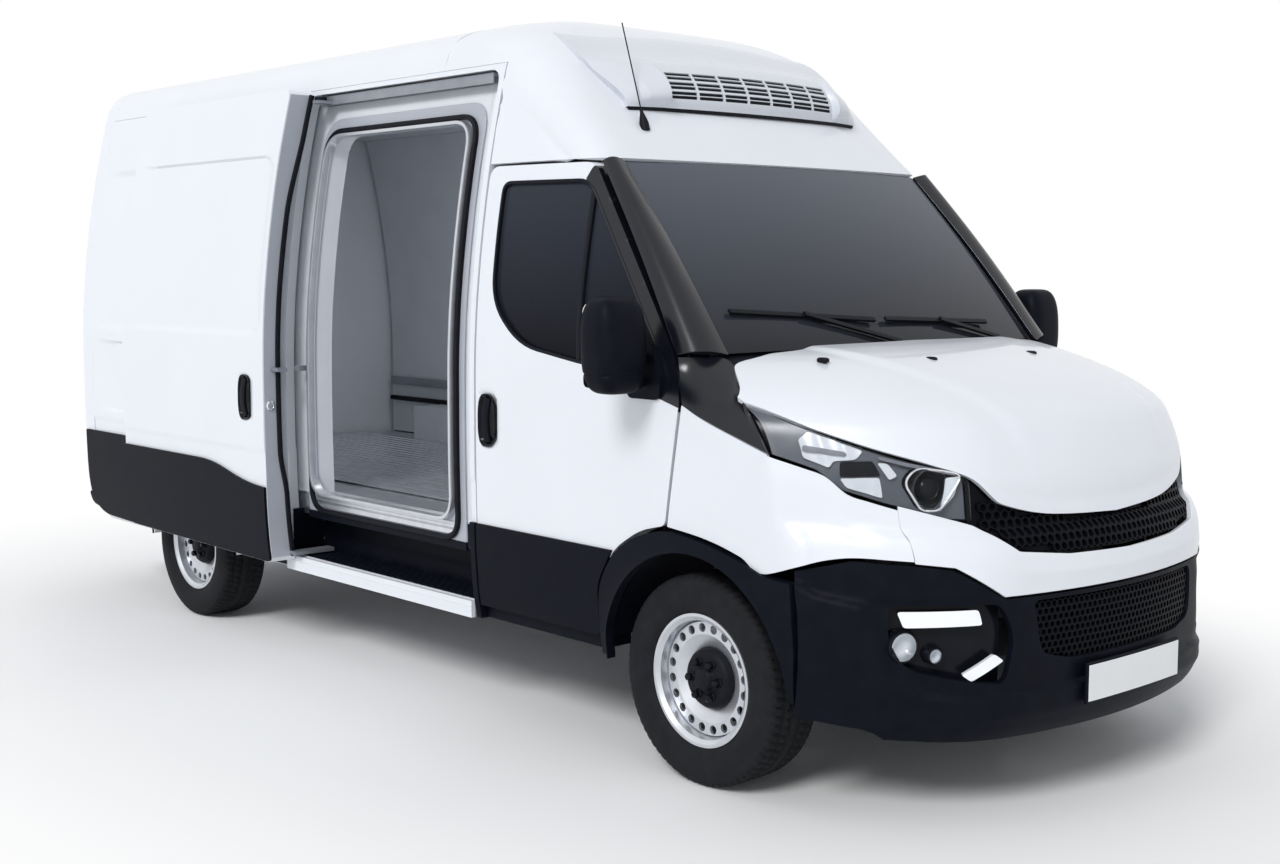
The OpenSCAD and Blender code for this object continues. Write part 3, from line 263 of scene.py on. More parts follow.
def material(name, base, rough, metal=0.0, spread=0.04, scale=9.0, bump=0.0, bump_scale=600.0, coat=0.0,
             alpha=1.0, fade=None, specular=0.5):
    """A finish whose colour and roughness wander with noise over the piece's own coordinates, by a
    share each way; fade is (low, high, colour), a second colour that takes over between two heights."""
    m = bpy.data.materials.new(name)
    m.use_nodes = True
    t = m.node_tree
    main = t.nodes["Principled BSDF"]
    place = node(t, "TexCoord").outputs["Object"]
    noise, ramp = node(t, "TexNoise", Scale=scale, Detail=3), node(t, "ValToRGB")
    for stop, at, share in zip(ramp.color_ramp.elements, (0.3, 0.7), (1 - spread, 1 + spread)):
        stop.position = at
        stop.color = (*(min(1, c * share) for c in base), 1)
    join(t, (place, noise.inputs["Vector"]), (noise.outputs["Fac"], ramp.inputs["Fac"]))
    colour = ramp.outputs["Color"]
    if fade:
        height, reach = node(t, "SeparateXYZ"), node(t, "MapRange", From_Min=fade[0], From_Max=fade[1])
        mix = node(t, "Mix")
        mix.data_type = "RGBA"
        mix.inputs["B"].default_value = (*fade[2], 1)
        join(t, (place, height.inputs[0]), (height.outputs["Z"], reach.inputs["Value"]),
             (reach.outputs["Result"], mix.inputs["Factor"]), (colour, mix.inputs["A"]))
        colour = mix.outputs["Result"]
    gloss = node(t, "MapRange", To_Min=rough * 0.85, To_Max=min(1, rough * 1.15))
    join(t, (colour, main.inputs["Base Color"]), (noise.outputs["Fac"], gloss.inputs["Value"]),
         (gloss.outputs["Result"], main.inputs["Roughness"]))
    for key, value in (("Metallic", metal), ("Coat Weight", coat), ("Coat Roughness", 0.04), ("Alpha", alpha),
                       ("Specular IOR Level", specular)):
        main.inputs[key].default_value = value
    if bump:
        grain = node(t, "TexNoise", Scale=bump_scale)
        dents = node(t, "Bump", Strength=bump, Distance=0.002)
        join(t, (place, grain.inputs["Vector"]), (grain.outputs["Fac"], dents.inputs["Height"]),
             (dents.outputs["Normal"], main.inputs["Normal"]))
    return m


def clear(name, tint, rough, ior):
    """A clear cover: light passes straight through, and the share given by the glass law is mirrored."""
    m = bpy.data.materials.new(name)
    m.use_nodes = True
    t = m.node_tree
    t.nodes.remove(t.nodes["Principled BSDF"])
    place, noise, ramp = node(t, "TexCoord"), node(t, "TexNoise", Scale=6), node(t, "ValToRGB")
    for stop, share in zip(ramp.color_ramp.elements, (0.94, 1)):
        stop.color = (*(c * share for c in tint), 1)
    through, mirrored = node(t, "BsdfTransparent"), node(t, "BsdfGlossy", Roughness=rough)
    mix, law = node(t, "MixShader"), node(t, "Fresnel", IOR=ior)
    join(t, (place.outputs["Object"], noise.inputs["Vector"]), (noise.outputs["Fac"], ramp.inputs["Fac"]),
         (ramp.outputs["Color"], through.inputs["Color"]), (law.outputs[0], mix.inputs[0]),
         (through.outputs[0], mix.inputs[1]), (mirrored.outputs[0], mix.inputs[2]),
         (mix.outputs[0], t.nodes["Material Output"].inputs["Surface"]))
    return m


# Each finish: colour, roughness and what differs from a plain finish
FINISHES = {
    "white_paint": ((0.765, 0.79, 0.84), 0.32, dict(spread=0.012, scale=3, coat=0.4)),
    "black_plastic": ((0.0046, 0.0058, 0.0105), 0.46,
                      dict(spread=0.2, scale=14, bump=0.12, bump_scale=900, specular=0.06)),
    "gloss_black": ((0.006, 0.007, 0.011), 0.16, dict(spread=0.15, scale=12, specular=0.12)),
    "pillar_black": ((0.005, 0.006, 0.010), 0.2, dict(spread=0.15, scale=12, specular=0.42)),
    "chassis_steel": ((0.05, 0.052, 0.058), 0.5, dict(metal=0.3, spread=0.25, scale=11, bump=0.1)),
    "wheel_silver": ((0.62, 0.64, 0.68), 0.34, dict(metal=0.75, spread=0.05, scale=14)),
    "chrome": ((0.85, 0.86, 0.88), 0.09, dict(metal=1.0, spread=0.03, scale=20)),
    "tyre_rubber": ((0.012, 0.0125, 0.015), 0.72,
                    dict(spread=0.25, scale=26, bump=0.2, bump_scale=500, specular=0.14)),
    "seal": ((0.008, 0.009, 0.013), 0.5, dict(spread=0.2, scale=18, specular=0.1)),
    # Both glasses turn lighter towards the top between the two fade heights: a painted reflection of the sky
    "window_glass": ((0.010, 0.011, 0.015), 0.05, dict(spread=0.1, scale=2, alpha=0.94, specular=0.17,
                                                       fade=(1.35, 2.05, (0.088, 0.1, 0.128)))),
    "side_glass": ((0.004, 0.0047, 0.008), 0.05, dict(spread=0.1, scale=2, alpha=0.97, specular=0.05,
                                                      fade=(1.35, 2.0, (0.036, 0.041, 0.055)))),
    "cab_trim": ((0.05, 0.053, 0.06), 0.7, dict(spread=0.15, scale=18, bump=0.15)),
    "seat_fabric": ((0.07, 0.075, 0.09), 0.9, dict(spread=0.25, scale=60, bump=0.4, bump_scale=1400)),
    "white_liner": ((0.68, 0.71, 0.75), 0.4, dict(spread=0.03, scale=5, coat=0.15)),
    "mesh_black": ((0.004, 0.0045, 0.007), 0.45, dict(spread=0.15, scale=15, specular=0.06)),
    "floor_aluminium": ((0.66, 0.68, 0.72), 0.3, dict(metal=0.9, spread=0.08, scale=16)),
    "lamp_clear": ((0.86, 0.88, 0.92), 0.18, dict(metal=0.55, spread=0.05, scale=12)),
    "lamp_red": ((0.45, 0.012, 0.015), 0.12, dict(spread=0.1, scale=30, coat=0.6)),
    "grey_metal": ((0.30, 0.32, 0.36), 0.42, dict(metal=0.5, spread=0.08, scale=14)),
    # White lamp lenses; on the fog lamp bowls this white is a painted glint of the reflector
    "lamp_white_and_glint": ((0.9, 0.92, 0.95), 0.12, dict(spread=0.03, scale=22, coat=0.8)),
    # Grey for white inner panels: painted shade, standing for the doorway frame and the open door's edge in
    # shadow
    "inner_white_painted_shade": ((0.40, 0.425, 0.475), 0.4, dict(spread=0.03, scale=6, coat=0.2)),
    # A greyer copy of the white paint for the cooling unit: painted shade
    "unit_white_painted_shade": ((0.66, 0.69, 0.74), 0.36, dict(spread=0.02, scale=5, coat=0.3)),
    "lamp_bezel": ((0.11, 0.117, 0.14), 0.3, dict(spread=0.12, scale=16)),
    "smoke_chrome": ((0.26, 0.27, 0.30), 0.16, dict(metal=0.9, spread=0.08, scale=24)),
    "plate": ((0.78, 0.79, 0.80), 0.35, dict(spread=0.02, scale=10)),
}
FINISH = {name: material(name, base, rough, **more) for name, (base, rough, more) in FINISHES.items()}
FINISH["clear_lens"] = clear("clear_lens", (0.96, 0.97, 0.98), 0.22, 1.2)

# Meshes


def add(name, data):
    """A new object with that data in the scene."""
    o = bpy.data.objects.new(name, data)
    bpy.context.scene.collection.objects.link(o)
    return o


def round_edges(o, width, segs=2):
    """A rounding of a width on every edge that turns by more than 50 degrees."""
    b = o.modifiers.new("edge", "BEVEL")
    b.width, b.segments, b.limit_method, b.angle_limit = width * MM, segs, "ANGLE", math.radians(50)


def tuples(F):
    """Faces as tuples, from an array or from a list of faces of any length."""
    return [tuple(f) for f in (F.tolist() if isinstance(F, np.ndarray) else F)]


def flip_out(V, F):
    """Faces turned outward: all are reversed if the volume under triangles fanned from each is negative."""
    vol = 0.0
    for n in set(map(len, F)):
        f = np.array([q for q in F if len(q) == n])
        for k in range(1, n - 1):
            vol += np.einsum("ij,ij->", V[f[:, 0]], np.cross(V[f[:, k]], V[f[:, k + 1]]))
    return [q[::-1] for q in F] if vol < 0 else F


def piece(name, V, F, mat, body="body", replaces=(), sharp=40, bevel=0.0, segs=2, turn=True):
    """One mesh object at the origin from whole arrays of points (mm) and faces."""
    V, F = np.asarray(V, float).reshape(-1, 3), tuples(F)
    if turn:
        F = flip_out(V - V.mean(0), F)
    me = bpy.data.meshes.new(name)
    me.from_pydata((V * MM).tolist(), [], F)
    me.validate()
    me.polygons.foreach_set("use_smooth", np.ones(len(me.polygons), bool))
    me.set_sharp_from_angle(angle=math.radians(sharp))
    me.materials.append(FINISH[mat])
    o = add(name, me)
    if bevel:
        round_edges(o, bevel, segs)
    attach(o, body)
    if replaces:
        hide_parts(*replaces)
    return o


def quads(nr, nc, wrap_r=False, wrap_c=False):
    """The four-sided faces of a grid of nr by nc points, closed round along rows or columns where asked."""
    r = np.arange(nr if wrap_r else nr - 1)[:, None]
    c = np.arange(nc if wrap_c else nc - 1)[None, :]
    a, b = r * nc + c, r * nc + (c + 1) % nc
    d, e = (r + 1) % nr * nc + c, (r + 1) % nr * nc + (c + 1) % nc
    return np.stack([a, b, e, d], -1).reshape(-1, 4)


def normals(P):
    """Unit normals of a grid: the cross product of its steps along both ways."""
    n = np.cross(np.gradient(P, axis=0), np.gradient(P, axis=1))
    return n / np.maximum(np.linalg.norm(n, axis=-1, keepdims=True), 1e-9)


def shell(name, P, t, mat, body="body", toward=(0, 0, 0), **kw):
    """A closed shell: the grid P, a copy moved by t along its normals to the side of a point, and a rim."""
    nr, nc, _ = P.shape
    n = normals(P)
    if np.einsum("ijk,ijk->", n, P - np.asarray(toward, float)) < 0:
        n = -n
    k, f = nr * nc, quads(nr, nc)
    i = np.arange(k).reshape(nr, nc)
    loop = np.r_[i[0, :-1], i[:-1, -1], i[-1, :0:-1], i[:0:-1, 0]]
    nxt = np.roll(loop, -1)
    rim = np.stack([nxt, loop, loop + k, nxt + k], 1)
    V = np.vstack([P.reshape(-1, 3), (P - t * n).reshape(-1, 3)])
    return piece(name, V, np.vstack([f, f[:, ::-1] + k, rim]), mat, body, **kw)


def fill(outline, holes, hu, hv):
    """Points hu by hv apart inside an outline and off its holes, joined with their edges into triangles."""
    scale = np.array([1.0, hu / hv])
    rings = [resample(np.asarray(p, float) * scale, hu * 0.8) for p in [outline, *holes]]
    edge = np.vstack(rings)

    def within(p):
        """Which points lie inside the outline and in no hole."""
        keep = inside(p, rings[0])
        for r in rings[1:]:
            keep &= ~inside(p, r)
        return keep

    def off_edge(p):
        """Which points stand clear of every point on the edges."""
        return np.sqrt(((p[:, None] - edge[None]) ** 2).sum(-1)).min(1) > hu * 0.45

    lo, hi = rings[0].min(0), rings[0].max(0)
    gu, gv = np.meshgrid(np.arange(lo[0] + hu / 2, hi[0], hu), np.arange(lo[1] + hu / 2, hi[1], hu))
    g = np.stack([gu.ravel(), gv.ravel()], 1)
    g = g[within(g)]
    g = np.vstack([p[off_edge(p)] for p in np.array_split(g, len(g) // 800 + 1)])
    links, k = [], 0
    for r in rings:
        i = np.arange(len(r)) + k
        links += np.stack([i, np.roll(i, -1)], 1).tolist()
        k += len(r)
    v2, _, f2, *_ = delaunay_2d_cdt(tuples(np.vstack([edge, g])), links, [], 0, 1e-4)
    uv, f = np.array([tuple(p) for p in v2]), np.array([tuple(q) for q in f2])
    return uv / scale, f[within(uv[f].mean(1))]


def panel(name, outline, fmap, t, mat, body="body", holes=(), hu=40, hv=30, push=None, inward=None, **kw):
    """A curved panel: a filled outline in two parameters carried onto fmap(u, v); its back lies t behind,
    along push or along the normal to the side of the point inward."""
    uv, f = fill(outline, holes, hu, hv)
    u, v = uv[:, 0], uv[:, 1]
    P = fmap(u, v)
    if push is None:
        n = np.cross(fmap(u + 1, v) - fmap(u - 1, v), fmap(u, v + 1) - fmap(u, v - 1))
        n /= np.maximum(np.linalg.norm(n, axis=1, keepdims=True), 1e-9)
        if np.einsum("ij,ij->", n, np.asarray(inward, float) - P) > 0:
            n = -n
    else:
        n = -np.broadcast_to(np.asarray(push, float), P.shape)
    m = len(uv)
    e = np.vstack([f[:, [0, 1]], f[:, [1, 2]], f[:, [2, 0]]])
    key = np.sort(e, 1)
    _, first, count = np.unique(key[:, 0] * (m + 1) + key[:, 1], return_index=True, return_counts=True)
    b = e[first[count == 1]]
    rim = np.stack([b[:, 1], b[:, 0], b[:, 0] + m, b[:, 1] + m], 1)
    F = tuples(f) + tuples(f[:, ::-1] + m) + tuples(rim)
    return piece(name, np.vstack([P, P - t * n]), F, mat, body, **kw)


def sweep(name, path, profile, mat, body="body", closed=False, up=(0, 0, 1), **kw):
    """A profile of (across, up) points carried along a path; across is the path direction turned from up."""
    path, pr = np.asarray(path, float), np.asarray(profile, float)
    T = np.roll(path, -1, 0) - np.roll(path, 1, 0) if closed else np.gradient(path, axis=0)
    T /= np.linalg.norm(T, axis=1, keepdims=True)
    A = np.cross(T, np.broadcast_to(np.asarray(up, float), T.shape))
    A /= np.maximum(np.linalg.norm(A, axis=1, keepdims=True), 1e-9)
    B = np.cross(A, T)
    P = path[:, None] + pr[None, :, 0, None] * A[:, None] + pr[None, :, 1, None] * B[:, None]
    nr, nc = P.shape[:2]
    F = tuples(quads(nr, nc, wrap_r=closed, wrap_c=True))
    if not closed:
        F += [tuple(range(nc))[::-1], tuple(range((nr - 1) * nc, nr * nc))]
    return piece(name, P, F, mat, body, **kw)


def lathe(name, profile, place, axis, mat, body="body", n=64, **kw):
    """A profile of (radius, along) points turned about an axis through a place, with flat ends."""
    p, a = np.asarray(profile, float), turn_of(n)
    nr = len(p)
    z = np.asarray(axis, float) / np.linalg.norm(axis)
    x = np.cross((0, 0, 1) if abs(z[2]) < 0.9 else (1, 0, 0), z)
    x /= np.linalg.norm(x)
    out = np.cos(a)[:, None] * x + np.sin(a)[:, None] * np.cross(z, x)
    V = p[:, None, :1] * out + p[:, None, 1:] * z + np.asarray(place, float)
    F = tuples(quads(nr, n, wrap_c=True)) + [tuple(range(n))[::-1], tuple(range((nr - 1) * n, nr * n))]
    return piece(name, V, F, mat, body, **kw)


def group(name, parts, mat, body="body", **kw):
    """Several closed meshes, each a (points, faces) pair, as one object."""
    V, F, k = [], [], 0
    for v, f in parts:
        F += [tuple(i + k for i in q) for q in flip_out(v - v.mean(0), f)]
        V.append(v)
        k += len(v)
    return piece(name, np.vstack(V), F, mat, body, turn=False, **kw)


def ball_angles(n, m):
    """Angles of a ball's points: n rows from pole to pole less the poles themselves, and m round each row."""
    return np.linspace(-np.pi / 2, np.pi / 2, n)[1:-1, None], turn_of(m)[None, :] - np.pi


def ball_faces(rows, m):
    """Faces of rows of m points round a ball, closed by fans to the two poles that follow them."""
    i, k = np.arange(m), rows * m
    low = np.stack([np.roll(i, -1), i, np.full(m, k)], 1)
    top = np.stack([i + k - m, np.roll(i, -1) + k - m, np.full(m, k + 1)], 1)
    return tuples(quads(rows, m, wrap_c=True)) + tuples(low) + tuples(top)


def pad_of(c, size, p, n=20, m=28):
    """A rounded box: a superellipsoid of power p with half sizes along the axes, centred at c."""
    u, v = ball_angles(n, m)
    f = lambda t: power(t, 2 / p)
    P = np.stack([f(np.cos(u)) * f(np.cos(v)), f(np.cos(u)) * f(np.sin(v)), f(np.sin(u)) + 0 * v], -1)
    V = np.vstack([P.reshape(-1, 3), [(0, 0, -1), (0, 0, 1)]]) * size + np.asarray(c, float)
    return V, ball_faces(n - 2, m)


# CAD nodes that keep their shape and take a finish
KEEP = {
    "chassis_steel": ["chassis_frame", "engine_block", "exhaust", "propshaft", "rear_axle", "leaf_springs",
                      "front_suspension", "knuckle_left", "knuckle_right"],
    "black_plastic": ["fuel_tank", "cab_floor", "arch_liners", "rear_bumper"],
    "white_paint": ["rear_frame", "rear_door_left", "rear_door_right", "entry_step"],
    "seal": ["wipers"],
    "white_liner": ["load_liner", "liner_right", "evaporator"],
    "floor_aluminium": ["load_floor"],
    "grey_metal": ["slide_rails"],
    "wheel_silver": ["rim_front_left", "rim_front_right", "rim_rear_left", "rim_rear_right"],
    "lamp_red": ["tail_lamps"],
    "cab_trim": ["dashboard", "steering_wheel"],
}
finish_of = {name: finish for finish, names in KEEP.items() for name in names}
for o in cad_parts.values():
    for s in o.material_slots:
        s.material = FINISH[finish_of.get(o.name, "cab_trim")]
    if o.name.startswith(("rear_", "entry", "load_", "liner", "evap", "dash", "slide_rails", "fuel")):
        round_edges(o, 2.5)

# Body sides


def box_mask(x, z, x0, x1, z0, z1, soft):
    """1 inside a rectangle and 0 outside: a soft step at each of its sides."""
    rise = lambda t, at: step(t, at - soft / 2, at + soft / 2)
    return rise(x, x0) * (1 - rise(x, x1)) * rise(z, z0) * (1 - rise(z, z1))


def field(x, z, x0, x1, z0, z1, r=60.0, soft=14.0):
    """1 inside a rounded rectangle and 0 outside: a soft step over the distance to its outline."""
    a = np.abs(x - (x0 + x1) / 2) - (x1 - x0) / 2 + r
    b = np.abs(z - (z0 + z1) / 2) - (z1 - z0) / 2 + r
    d = np.hypot(np.maximum(a, 0), np.maximum(b, 0)) + np.minimum(np.maximum(a, b), 0) - r
    return 1 - step(d, -soft / 2, soft / 2)


x_r, x_f = REAR + 110, B_POST - 4
DOORWAY_R, DOORWAY_F, DOORWAY_TOP = ahead(-2567), ahead(-1190), 2418.0


def side(s, off=0.0, recess=()):
    """The body side: half width over height plus a distance, with pressed-in fields and a set-in skirt."""

    def f(x, z):
        y = half_w(z) + off
        for r in recess:
            y = y - 13 * field(x, z, *r) * step(x, x_r, x_r + 240)
        if recess:
            y = y - 4 * (1 - step(z, 888, 904))
        return np.stack([x, s * y, z], -1)

    return f


def arch(r, x0, z0=SILL_Z, n=33):
    """A wheel arch: a half circle about the wheel centre with straight legs down to z0."""
    a = np.linspace(math.pi, 0, n)
    p = np.stack([x0 + r * np.cos(a), TYRE_R + r * np.sin(a)], 1)
    return np.vstack([[x0 - r, z0], p, [x0 + r, z0]])


rear_foot = rounded([(x_r, 700), (x_r, SILL_Z, 120), (AXLE_R - ARCH_R, SILL_Z)], 10)[1:-1]
side_foot = np.vstack([rear_foot, arch(ARCH_R, AXLE_R)])
side_end = [(x_f, SILL_Z), (x_f, SIDE_TOP), (x_r, SIDE_TOP)]
doorway_top = rounded([(DOORWAY_R, 2300), (DOORWAY_R, DOORWAY_TOP, 60), (DOORWAY_F, DOORWAY_TOP, 60),
                       (DOORWAY_F, 2300)])[1:-1]
doorway = np.vstack([(DOORWAY_R, SILL_Z), (DOORWAY_R, 2358), doorway_top, (DOORWAY_F, 2358),
                     (DOORWAY_F, SILL_Z)])
x_press, x_open = REAR - 200, DOORWAY_R - 73
left_fields = [(x_press, -740, 1400, 2154), (-640, 560, 1400, 2154), (x_press, -740, 950, 1300)]
right_fields = [(x_press, x_open, 1375, 2160), (x_press, x_open, 950, 1300)]
for s, tag, outline, fields in ((1, "left", np.vstack([side_foot, side_end]), left_fields),
                                (-1, "right", np.vstack([side_foot, doorway, side_end]), right_fields)):
    panel(f"side_{tag}_skin", outline, side(s, 0, fields), 60, "white_paint", push=(0, -s, 0),
          replaces=["side_panel_" + tag], bevel=3, hu=44, hv=14)

# Cladding along the sills and round the arches
x_clad = REAR + 20
clad_rear = rounded([(x_clad, 640), (x_clad, 394, 210), (AXLE_R - ARCH_R, CLAD_Z)], 14)[1:]
clad_foot = np.vstack([clad_rear, arch(ARCH_R - 2, AXLE_R, CLAD_Z)])
clad_end = [(x_clad, CLAD_TOP, 12), (x_clad, 700)]
top_left = rounded([(x_f, 400), (x_f, 735, 8), (B_POST - 1500, 740, 160), (B_POST - 1800, CLAD_TOP, 160),
                    *clad_end])[1:-1]
top_right = rounded([(DOORWAY_R, 400), (DOORWAY_R, CLAD_TOP, 4), *clad_end])[1:-1]
for s, tag, end, top in ((1, "left", x_f, top_left), (-1, "right", DOORWAY_R, top_right)):
    panel("cladding_" + tag, np.vstack([clad_foot, (end, CLAD_Z), top]), side(s, CLAD), 9.5, "black_plastic",
          push=(0, -s, 0), hu=50, hv=30, bevel=3)
panel("post_cladding", oblong(DOORWAY_F - 1, x_f + 1, 367, 735), side(-1, CLAD), CLAD + 62, "black_plastic",
      push=(0, 1, 0), hu=30, bevel=2)
wing_top = rounded(from_axle((-452, 365), (-452, 600, 60), (-372, 730, 70), (-240, 806, 70), (-110, 836, 70),
                             (46, 820, 80), (224, 780, 60), (330, 742, 40), (436, 738, 6), (452, 520, 30),
                             (440, 365)))
clad_front = np.vstack([wing_top, arch(ARCH_R, AXLE_F, 365)[::-1]])


def flare(s):
    """The front arch cladding: the body side pushed out towards the arch edge, to flare over the tyre."""

    def f(x, z):
        d = np.hypot(x - AXLE_F, z - TYRE_R) - ARCH_R
        return np.stack([x, s * (half_w(z) + 8 + 16 * np.exp(-np.maximum(d, 0) / 60)), z], -1)

    return f


for s, tag in SIDES:
    panel("arch_cladding_" + tag, clad_front, flare(s), 38, "black_plastic", push=(0, -s, 0), hu=22, hv=22,
          bevel=3, replaces=["cladding"] if s > 0 else ())

# Roof
top_y, top_z = np.array(ROOF_ROWS[::-1], float).T
ROOF_JOIN = ahead(-1560)


def dome_row(z, a, bow, c):
    """A level line of the roof nose at height z: straight along the side, a parabolic corner of length c,
    and a front a ahead of the axle that falls back by bow with the square of y; the other side mirrors it."""
    hw = float(half_w(z)) if z < EAVE_Z else float(np.interp(z, top_z, top_y))
    w = hw - max(0, 0.16 * (2300 - z))
    front = ahead(a)
    e = front - bow * ((w - c) / 800) ** 2
    t = np.linspace(0, 1, 9)[:, None]
    corner = ((1 - t) ** 2 * np.array([e - c * 1.3 - 40, w]) + 2 * t * (1 - t) * np.array([e - 16, w])
              + t * t * np.array([e, w - c]))
    start = corner[0, 0]
    past_post = start > B_POST + 30
    last, near = (B_POST + 4, max(start - 25, B_POST + 6)) if past_post else (start - 60, start - 25)
    back_x = np.r_[np.linspace(ROOF_JOIN, last, 4), near]
    back_y = np.r_[np.full(4, hw), hw + (w - hw) * (0.7 if past_post else 0)]
    y = np.linspace(w - c, 0, 9)[1:]
    half = np.vstack([np.stack([back_x, back_y], 1), corner, np.stack([front - bow * (y / 800) ** 2, y], 1)])
    row = np.vstack([half, half[-2::-1] * (1, -1)])
    return np.column_stack([row, np.full(len(row), z)])


def on_grid(G):
    """A dense grid of points read between rows and columns; u runs across and v up, both from 0 to 1000."""
    n, m = G.shape[:2]

    def f(u, v):
        a = np.clip(np.asarray(v) / 1000 * (n - 1), 0, n - 1.001)
        b = np.clip(np.asarray(u) / 1000 * (m - 1), 0, m - 1.001)
        i, j = a.astype(int), b.astype(int)
        s, t = (a - i)[..., None], (b - j)[..., None]
        low = G[i, j] * (1 - s) * (1 - t) + G[i + 1, j] * s * (1 - t)
        return low + G[i, j + 1] * (1 - s) * t + G[i + 1, j + 1] * s * t

    return f


DOME_N, DOME_M = 141, 441
roof_grid = net(np.array([dome_row(*r) for r in DOME_ROWS]), DOME_N, DOME_M)
across, up_v = np.linspace(0, 1000, DOME_M), np.linspace(0, 1000, DOME_N)
row_v = float(np.interp(EAVE_Z, roof_grid[:, DOME_M // 2, 2], up_v))
notch = [(float(np.interp(B_POST + 4, roof_grid[i, :110, 0], across[:110])), i / 0.14)
         for i in np.linspace(0, 0.14 * row_v, 8).astype(int)]
left_edge = [q for q in notch if q[1] < row_v - 5] + [(notch[-1][0], row_v)]
right_edge = [(1000 - u, v) for u, v in left_edge]
nose_edge = [(0, 1000), (0, row_v), *left_edge[::-1], *right_edge, (1000, row_v), (1000, 1000)]
panel("roof_nose", nose_edge, on_grid(roof_grid), 14, "white_paint", hu=9, hv=12,
      inward=(ahead(-1300), 0, 2000), replaces=["cab_roof"])
panel("roof_cap", roof_grid[-1, ::6, :2] * (1, 1.01) + (0.8, 0),
      lambda x, y: np.stack([x, y, roof_z(np.abs(y)) + 0.4], -1), 10, "white_paint", push=(0, 0, -1), hu=12,
      hv=12)
RX, RY = grid(np.linspace(x_r, ROOF_JOIN - 1, 60), np.linspace(-837, 837, 121))
rib = sum(bell(RY, c, 26, 4) for c in (-480, -240, 0, 240, 480))
rib = rib * box_mask(RX, RY * 0, REAR + 300, ahead(-1750), -1, 1, 60)
shell("roof_rear", np.stack([RX, RY, roof_z(np.abs(RY)) - 6 * rib], -1), 30, "white_paint",
      toward=(-800, 0, 1500), replaces=["load_roof"])

# Screen, pillars and cowl
u, v = grid(np.linspace(-1, 1, 61), np.linspace(0, 1, 31))
y = u * (842 - 58 * v)
bulge = np.sin(np.pi * v)
P = np.stack([ahead(40 - 556 * v) - 46 * (y / 800) ** 2 + 10 * bulge, y,
              1412 + 642 * v - 6 * u * u + 8 * bulge], -1)
shell("screen_glass", P, 5, "window_glass", toward=(ahead(-800), 0, 1300), replaces=["windscreen"])
# The pillar's inner and outer edges, each from its foot to its top, and the net of its foot panel
PILLAR_EDGES = np.array([[(14, 848, 1404), (-556, 788, 2050)], [(-88, 984, 1404), (-585, 872, 2050)]], float)
PILLAR_FOOT = np.array([[(-44, 1002, 1237), (60, 1002, 1206), (150, 1001, 1178), (245, 1000, 1150),
                         (334, 999, 1122)],
                        [(-58, 996, 1300), (28, 985, 1284), (112, 980, 1256), (196, 986, 1222),
                         (290, 994, 1178)],
                        [(-72, 988, 1352), (8, 950, 1346), (96, 938, 1312), (166, 962, 1272),
                         (244, 988, 1224)],
                        [(-82, 984, 1398), (8, 876, 1398), (84, 884, 1360), (146, 930, 1318),
                         (206, 982, 1262)]],
                       float)
vv = np.linspace(0, 1, 24)[:, None]
inner_edge, outer_edge = (low * (1 - vv) + high * vv + np.sin(np.pi * vv) * np.array([10, 3, 8])
                          for low, high in PILLAR_EDGES + (AXLE_F, 0, 0))
w = np.linspace(0, 1, 11)[None, :, None]
pillar = inner_edge[:, None] * (1 - w) + outer_edge[:, None] * w + 4 * w * (1 - w) * np.array([26, 24, 14])
pillar_foot = net(PILLAR_FOOT + (AXLE_F, 0, 0), 26, 36)
for s, tag in SIDES:
    shell("pillar_" + tag, pillar * (1, s, 1), 22, "pillar_black", toward=(ahead(-700), 0, 1500), bevel=2,
          replaces=["pillar_frame"] if s > 0 else ())
    shell("pillar_foot_" + tag, pillar_foot * (1, s, 1), 8, "pillar_black", toward=(ahead(0), 0, 1000),
          bevel=1.5)
cu, cv = grid(np.linspace(-1, 1, 81), np.linspace(0, 1, 9))
yc = cu * COWL_HALF
P = np.stack([ahead(64 + 26 * (1 - cv) - 60 * cv) - 46 * (yc / 800) ** 2, yc,
              1380 + 34 * cv - 20 * (yc / COWL_HALF) ** 4 * (1 - cv)], -1)
shell("cowl", P, 8, "black_plastic", toward=(ahead(0), 0, 1000))

# Front end


def nose_strip(ys, low, top, n, inset=0.0):
    """The front form between two edge curves across the nose, n points up."""
    a = np.abs(ys)
    lo, hi = nose_s(low(a)), nose_s(top(a))
    v = np.linspace(0, 1, n)[None, :]
    return nose_point(np.repeat(ys[:, None], n, 1), lo[:, None] * (1 - v) + hi[:, None] * v, inset)


def level(z):
    """An edge at one height all across."""
    return lambda a: 0 * a + z


def nose_uv(pts):
    """(y, height) points as (y, length along the nose profile)."""
    q = np.asarray(pts, float).copy()
    q[:, 1] = nose_s(q[:, 1])
    return q


def nose_map(inset=0.0, swell=None):
    """The front form over (y, length along the profile), moved level along its normal by swell(y, height)."""

    def f(y, t):
        p = nose_point(y, t, inset)
        if swell is not None:
            a = np.abs(y)
            k = np.sign(y) * (2 * a / CROWN + 2 * CORNER_BOW * np.maximum(0, a - CORNER_Y))
            out = np.stack([np.ones_like(k), k, 0 * k], -1)
            p = p + (swell(y, p[..., 2]) / np.sqrt(1 + k * k))[..., None] * out
        return p

    return f


P = nose_strip(np.linspace(-984, 984, 181), lambda a: bonnet_low(a) + 3, bonnet_top, 71)
vv = np.linspace(0, 1, 71)[None, :]
a = np.abs(P[..., 1])
ridge_y = 430 - 0.22 * (P[..., 0] - ahead(500))
ridge = 9 * (1 - step(a, ridge_y, ridge_y + 70)) * step(vv, 0.02, 0.3)
crease = 5 * bell(vv, 0.045, 0.012) * step(-a, -640, -520)
P = P + (ridge - crease)[..., None] * np.array([0.5, 0, 0.86])
shell("bonnet_skin", P, 20, "white_paint", "bonnet", toward=(ahead(300), 0, 900), replaces=["bonnet"],
      bevel=3)

